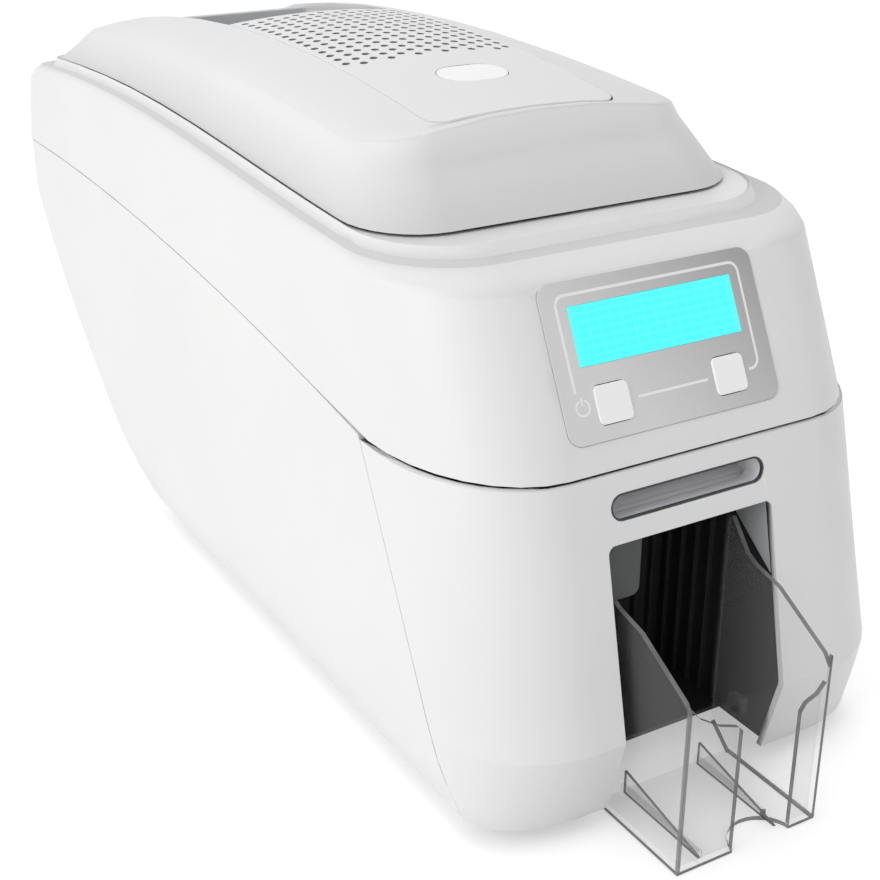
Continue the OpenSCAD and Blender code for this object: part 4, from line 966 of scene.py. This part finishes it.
# %% [markdown]
# Two clear wedges stand on the tray's floor and tilt the cards to the front. They are sheets as well,
# but they ride with the tray, and their faces that look up, down or along are sawn.

# %% Wedges in the tray
WEDGE_WALL = 0.0012
WEDGE = [(-0.0242, -0.0063), (-0.0242, -0.0059), (0.0185, 0.0034), (0.0185, -0.0063)]

for name, x in (("tray_wedge_1", -0.0206), ("tray_wedge_2", 0.0134)):
    outline = profile(x, WEDGE)
    wedge = sheet_piece(
        name, outline, (WEDGE_WALL, 0, 0), acrylic, carrier="output_tray",
    )
    second_finish(wedge, sawn_edge, lambda f: abs(f.normal.x) < 0.9)

# %% [markdown]
# The sockets sit in the sloping underside at the back, and a socket is empty without its contacts:
# three blades in the power inlet, a tongue in the USB socket and a row of eight wires in the network
# one. Drawing them on the slope would need odd coordinates. Each is drawn as a block in the slope's own
# frame, its outer end is chamfered, and one matrix then turns it into place. Of the wires one is drawn
# and seven arrayed.

# %% Contacts in the sockets
SLOPE_TURN = math.atan(55 / 66.4)
SLOPE_MID = Vector((PATH_X, 0.3548 - MID_Y, 0.0295 + FOOT))
slope = Matrix.Translation(SLOPE_MID) @ Matrix.Rotation(SLOPE_TURN, 4, "X")


def contact(name, node, place, size, chamfer, mat, copies=1, pitch=0.0):
    deselect()
    bpy.ops.mesh.primitive_cube_add(size=1, location=place)
    bpy.context.object.scale = size
    piece = start(name)
    end = min(v.co.z for v in piece.data.vertices) + 0.0001
    pick(piece, lambda co: co.z < end)
    bpy.ops.mesh.bevel(offset=chamfer, segments=2)
    bpy.ops.object.mode_set(mode="OBJECT")
    if copies > 1:
        repeat(piece, copies, (pitch, 0, 0))
    piece.data.transform(slope)
    only(piece)
    bpy.ops.object.shade_smooth_by_angle(angle=math.radians(30))
    paint(piece, mat)
    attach(piece, body_of_node[node])
    print(name, len(piece.data.polygons), "faces")


BLADE, TONGUE, WIRE = (0.0018, 0.0045, 0.011), (0.0056, 0.0032, 0.0076), (0.0004, 0.0004, 0.0084)
WIRE_PITCH = 0.00102

for number, (x, y) in enumerate(((-0.051, -0.0015), (-0.045, 0.0025), (-0.039, -0.0015)), 1):
    contact(f"inlet_blade_{number}", "power_inlet", (x, y, 0.0085), BLADE, 0.0005, brass)
contact("usb_tongue", "usb_socket", (0, 0, 0.0052), TONGUE, 0.0007, black_plastic)
contact("network_wires", "network_socket", (0.02643, 0.003, 0.0068), WIRE, 0.0001, brass, 8, WIRE_PITCH)

# %% [markdown]
# The grey membrane and the display carry fine prints. Modelled lines would stand proud of a surface
# that is smooth to the finger, so they are drawn in the material, from the face's own coordinates: u
# runs across the sloping face and v up along it, both in millimetres. One sum, the distance to a
# rounded frame, then gives the white trim line, the short line, the standby ring and the cells of the
# display.

# %% Helpers: face coordinates and printed shapes
FACE_ORIGIN = Vector((PATH_X, 0.020995 - MID_Y, 0.1246 + FOOT))
FACE_UP = Vector((0, 0.44721, 0.89443))


def face_uv(tree):
    shift = tree.nodes.new("ShaderNodeVectorMath")
    shift.operation = "SUBTRACT"
    tree.links.new(object_coords(tree), shift.inputs[0])
    shift.inputs[1].default_value = FACE_ORIGIN
    result = []
    for axis in (Vector((1000, 0, 0)), FACE_UP * 1000):
        dot = tree.nodes.new("ShaderNodeVectorMath")
        dot.operation = "DOT_PRODUCT"
        tree.links.new(shift.outputs[0], dot.inputs[0])
        dot.inputs[1].default_value = axis
        result.append(dot.outputs["Value"])
    return result


def frame_distance(tree, u, v, mid, reach, radius):
    past = []
    for place, centre, half in ((u, mid[0], reach[0]), (v, mid[1], reach[1])):
        off = calc(tree, "ABSOLUTE", calc(tree, "SUBTRACT", place, centre))
        past.append(calc(tree, "SUBTRACT", off, half - radius))
    beyond = [calc(tree, "MAXIMUM", value, 0.0) for value in past]
    squares = [calc(tree, "MULTIPLY", value, value) for value in beyond]
    far = calc(tree, "SQRT", calc(tree, "ADD", *squares))
    near = calc(tree, "MINIMUM", calc(tree, "MAXIMUM", *past), 0.0)
    return calc(tree, "SUBTRACT", calc(tree, "ADD", far, near), radius)


def filled(tree, distance):
    return calc(tree, "LESS_THAN", distance, 0.0)


def stroke(tree, distance, half_width):
    return calc(tree, "LESS_THAN", calc(tree, "ABSOLUTE", distance), half_width)


print("face coordinates start at", tuple(round(c, 4) for c in FACE_ORIGIN))


# %% The prints: a trim line with an open corner, and a standby ring
def trim_line(tree, u, v):
    line = stroke(tree, frame_distance(tree, u, v, (-0.2, 41.4), (38.3, 18.8), 3.6), 0.5)
    below = calc(tree, "LESS_THAN", v, 28.0)
    left = calc(tree, "LESS_THAN", u, 33.5)
    return calc(tree, "MULTIPLY", line, calc(tree, "SUBTRACT", 1.0, calc(tree, "MULTIPLY", below, left)))


def standby_ring(tree, u, v):
    ring = stroke(tree, frame_distance(tree, u, v, (-36.8, 22.9), (2.6, 2.6), 2.59), 0.32)
    narrow = calc(tree, "LESS_THAN", calc(tree, "ABSOLUTE", calc(tree, "ADD", u, 36.8)), 0.95)
    gap = calc(tree, "MULTIPLY", narrow, calc(tree, "GREATER_THAN", v, 23.5))
    ring = calc(tree, "MULTIPLY", ring, calc(tree, "SUBTRACT", 1.0, gap))
    bar = filled(tree, frame_distance(tree, u, v, (-36.8, 25.0), (0.32, 1.5), 0.3))
    return calc(tree, "MAXIMUM", ring, bar)


# %% The printed membrane
def printed_membrane():
    mat, tree, shader = new_material("printed_membrane")
    u, v = face_uv(tree)
    slant = calc(tree, "ADD", calc(tree, "MULTIPLY", u, 0.0088), calc(tree, "MULTIPLY", v, 0.0068))
    base = ramp(tree, slant, grey(linear(0.9)), grey(linear(0.69)), (0.0, 0.8))
    short = filled(tree, frame_distance(tree, u, v, (0.4, 22.4), (14.9, 0.45), 0.44))
    lines = calc(tree, "MAXIMUM", trim_line(tree, u, v), short)
    ink = calc(tree, "MAXIMUM", lines, standby_ring(tree, u, v))
    tree.links.new(blend(tree, ink, base, (1, 1, 1)), shader.inputs["Base Color"])
    coords = object_coords(tree)
    gloss(tree, shader, noise(tree, coords, 60, 3), 0.42, 0.5)
    bump(tree, shader, noise(tree, coords, 3000, 2), 0.2, 0.00003)
    return mat


membrane = printed_membrane()
paint(nodes["keypad_overlay"], membrane)
paint(skins["keypad_overlay"], membrane)
print("membrane printed")

# %% [markdown]
# The display glows cyan behind its glossy window, with a faint grid of blank character cells. FRACT
# repeats the face coordinates once per cell, so one rounded frame drawn in a single cell fills the
# whole grid. The glow is the shader's own emission, so the window keeps its reflections.

# %% Display
CELL_WIDE = 4.55
CELL_TALL = 2.9


def lit_display():
    mat, tree, shader = new_material("lit_display")
    u, v = face_uv(tree)
    cell_u = calc(tree, "FRACT", calc(tree, "DIVIDE", calc(tree, "ADD", u, 100.0), CELL_WIDE))
    cell_v = calc(tree, "FRACT", calc(tree, "DIVIDE", calc(tree, "ADD", v, 100.2), CELL_TALL))
    in_cell = filled(tree, frame_distance(tree, cell_u, cell_v, (0.5, 0.5), (0.4, 0.34), 0.12))
    in_grid = filled(tree, frame_distance(tree, u, v, (0, 46.1), (32.6, 9.2), 0.5))
    shade = calc(tree, "MULTIPLY", in_cell, in_grid)
    light = blend(tree, shade, (linear(0.33), 1, 1), (linear(0.27), 0.97, 0.97))
    tree.links.new(light, shader.inputs["Emission Color"])
    shader.inputs["Emission Strength"].default_value = 0.72
    tree.links.new(blend(tree, shade, (0.03, 0.42, 0.42), (0.02, 0.4, 0.4)), shader.inputs["Base Color"])
    gloss(tree, shader, noise(tree, object_coords(tree), 40, 2), 0.1, 0.16)
    return mat


paint(nodes["display_window"], lit_display())
print("display lit")

# %% [markdown]
# A pale floor runs off to the horizon, and a white world fills the room with soft light. A floor lit
# until it turns white would also flood the printer with light from below, so the floor and the world
# add their extra white only for rays that look straight at them, or by way of a mirror or a clear wall.

# %% Floor and world
FLOOR_DROP = 0.0002
FLOOR_GLOW = 0.42
ROOM_LIGHT = 0.6


def looked_at(tree):
    path = tree.nodes.new("ShaderNodeLightPath")
    seen = calc(tree, "MAXIMUM", path.outputs["Is Camera Ray"], path.outputs["Is Glossy Ray"])
    return calc(tree, "MAXIMUM", seen, path.outputs["Is Transmission Ray"])


deselect()
bpy.ops.mesh.primitive_plane_add(size=12, location=(0, 0, -FLOOR_DROP))
floor = start("studio_floor")
pale_floor, tree, shader = new_material("pale_floor")
shader.inputs["Base Color"].default_value = (0.9, 0.9, 0.9, 1)
shader.inputs["Roughness"].default_value = 0.9
shader.inputs["Specular IOR Level"].default_value = 0.1
shader.inputs["Emission Color"].default_value = (1, 1, 1, 1)
tree.links.new(calc(tree, "MULTIPLY", looked_at(tree), FLOOR_GLOW), shader.inputs["Emission Strength"])
paint(floor, pale_floor)

world = bpy.data.worlds.new("studio")
bpy.context.scene.world = world
world.use_nodes = True
tree = world.node_tree
room = tree.nodes["Background"]
room.inputs["Color"].default_value = (1, 1, 1, 1)
strength = calc(tree, "MULTIPLY_ADD", looked_at(tree), 1 - ROOM_LIGHT, ROOM_LIGHT)
tree.links.new(strength, room.inputs["Strength"])
print("floor and world ready")

# %% [markdown]
# Two large lamps shape the body. The left one keeps the long side bright, the weaker one above lights
# the lid, and the front falls off a little between them. Large area lamps give soft shadows, as a
# studio's soft boxes do. The Standard view transform shows each colour about as it was written.

# %% Lamps
LAMP_TARGET = Vector((0, 0, 0.1))


def soft_lamp(name, place, size, power):
    deselect()
    turn = aim(LAMP_TARGET - Vector(place))
    bpy.ops.object.light_add(type="AREA", location=place, rotation=turn)
    lamp = bpy.context.object
    lamp.name = name
    lamp.data.size = size
    lamp.data.energy = power
    print(name, power, "W")


soft_lamp("left_bank", (-1.75, -0.35, 0.85), 1.3, 12.5)
soft_lamp("top_bank", (0.1, 0.5, 1.8), 1.2, 3.9)
bpy.context.scene.view_settings.view_transform = "Standard"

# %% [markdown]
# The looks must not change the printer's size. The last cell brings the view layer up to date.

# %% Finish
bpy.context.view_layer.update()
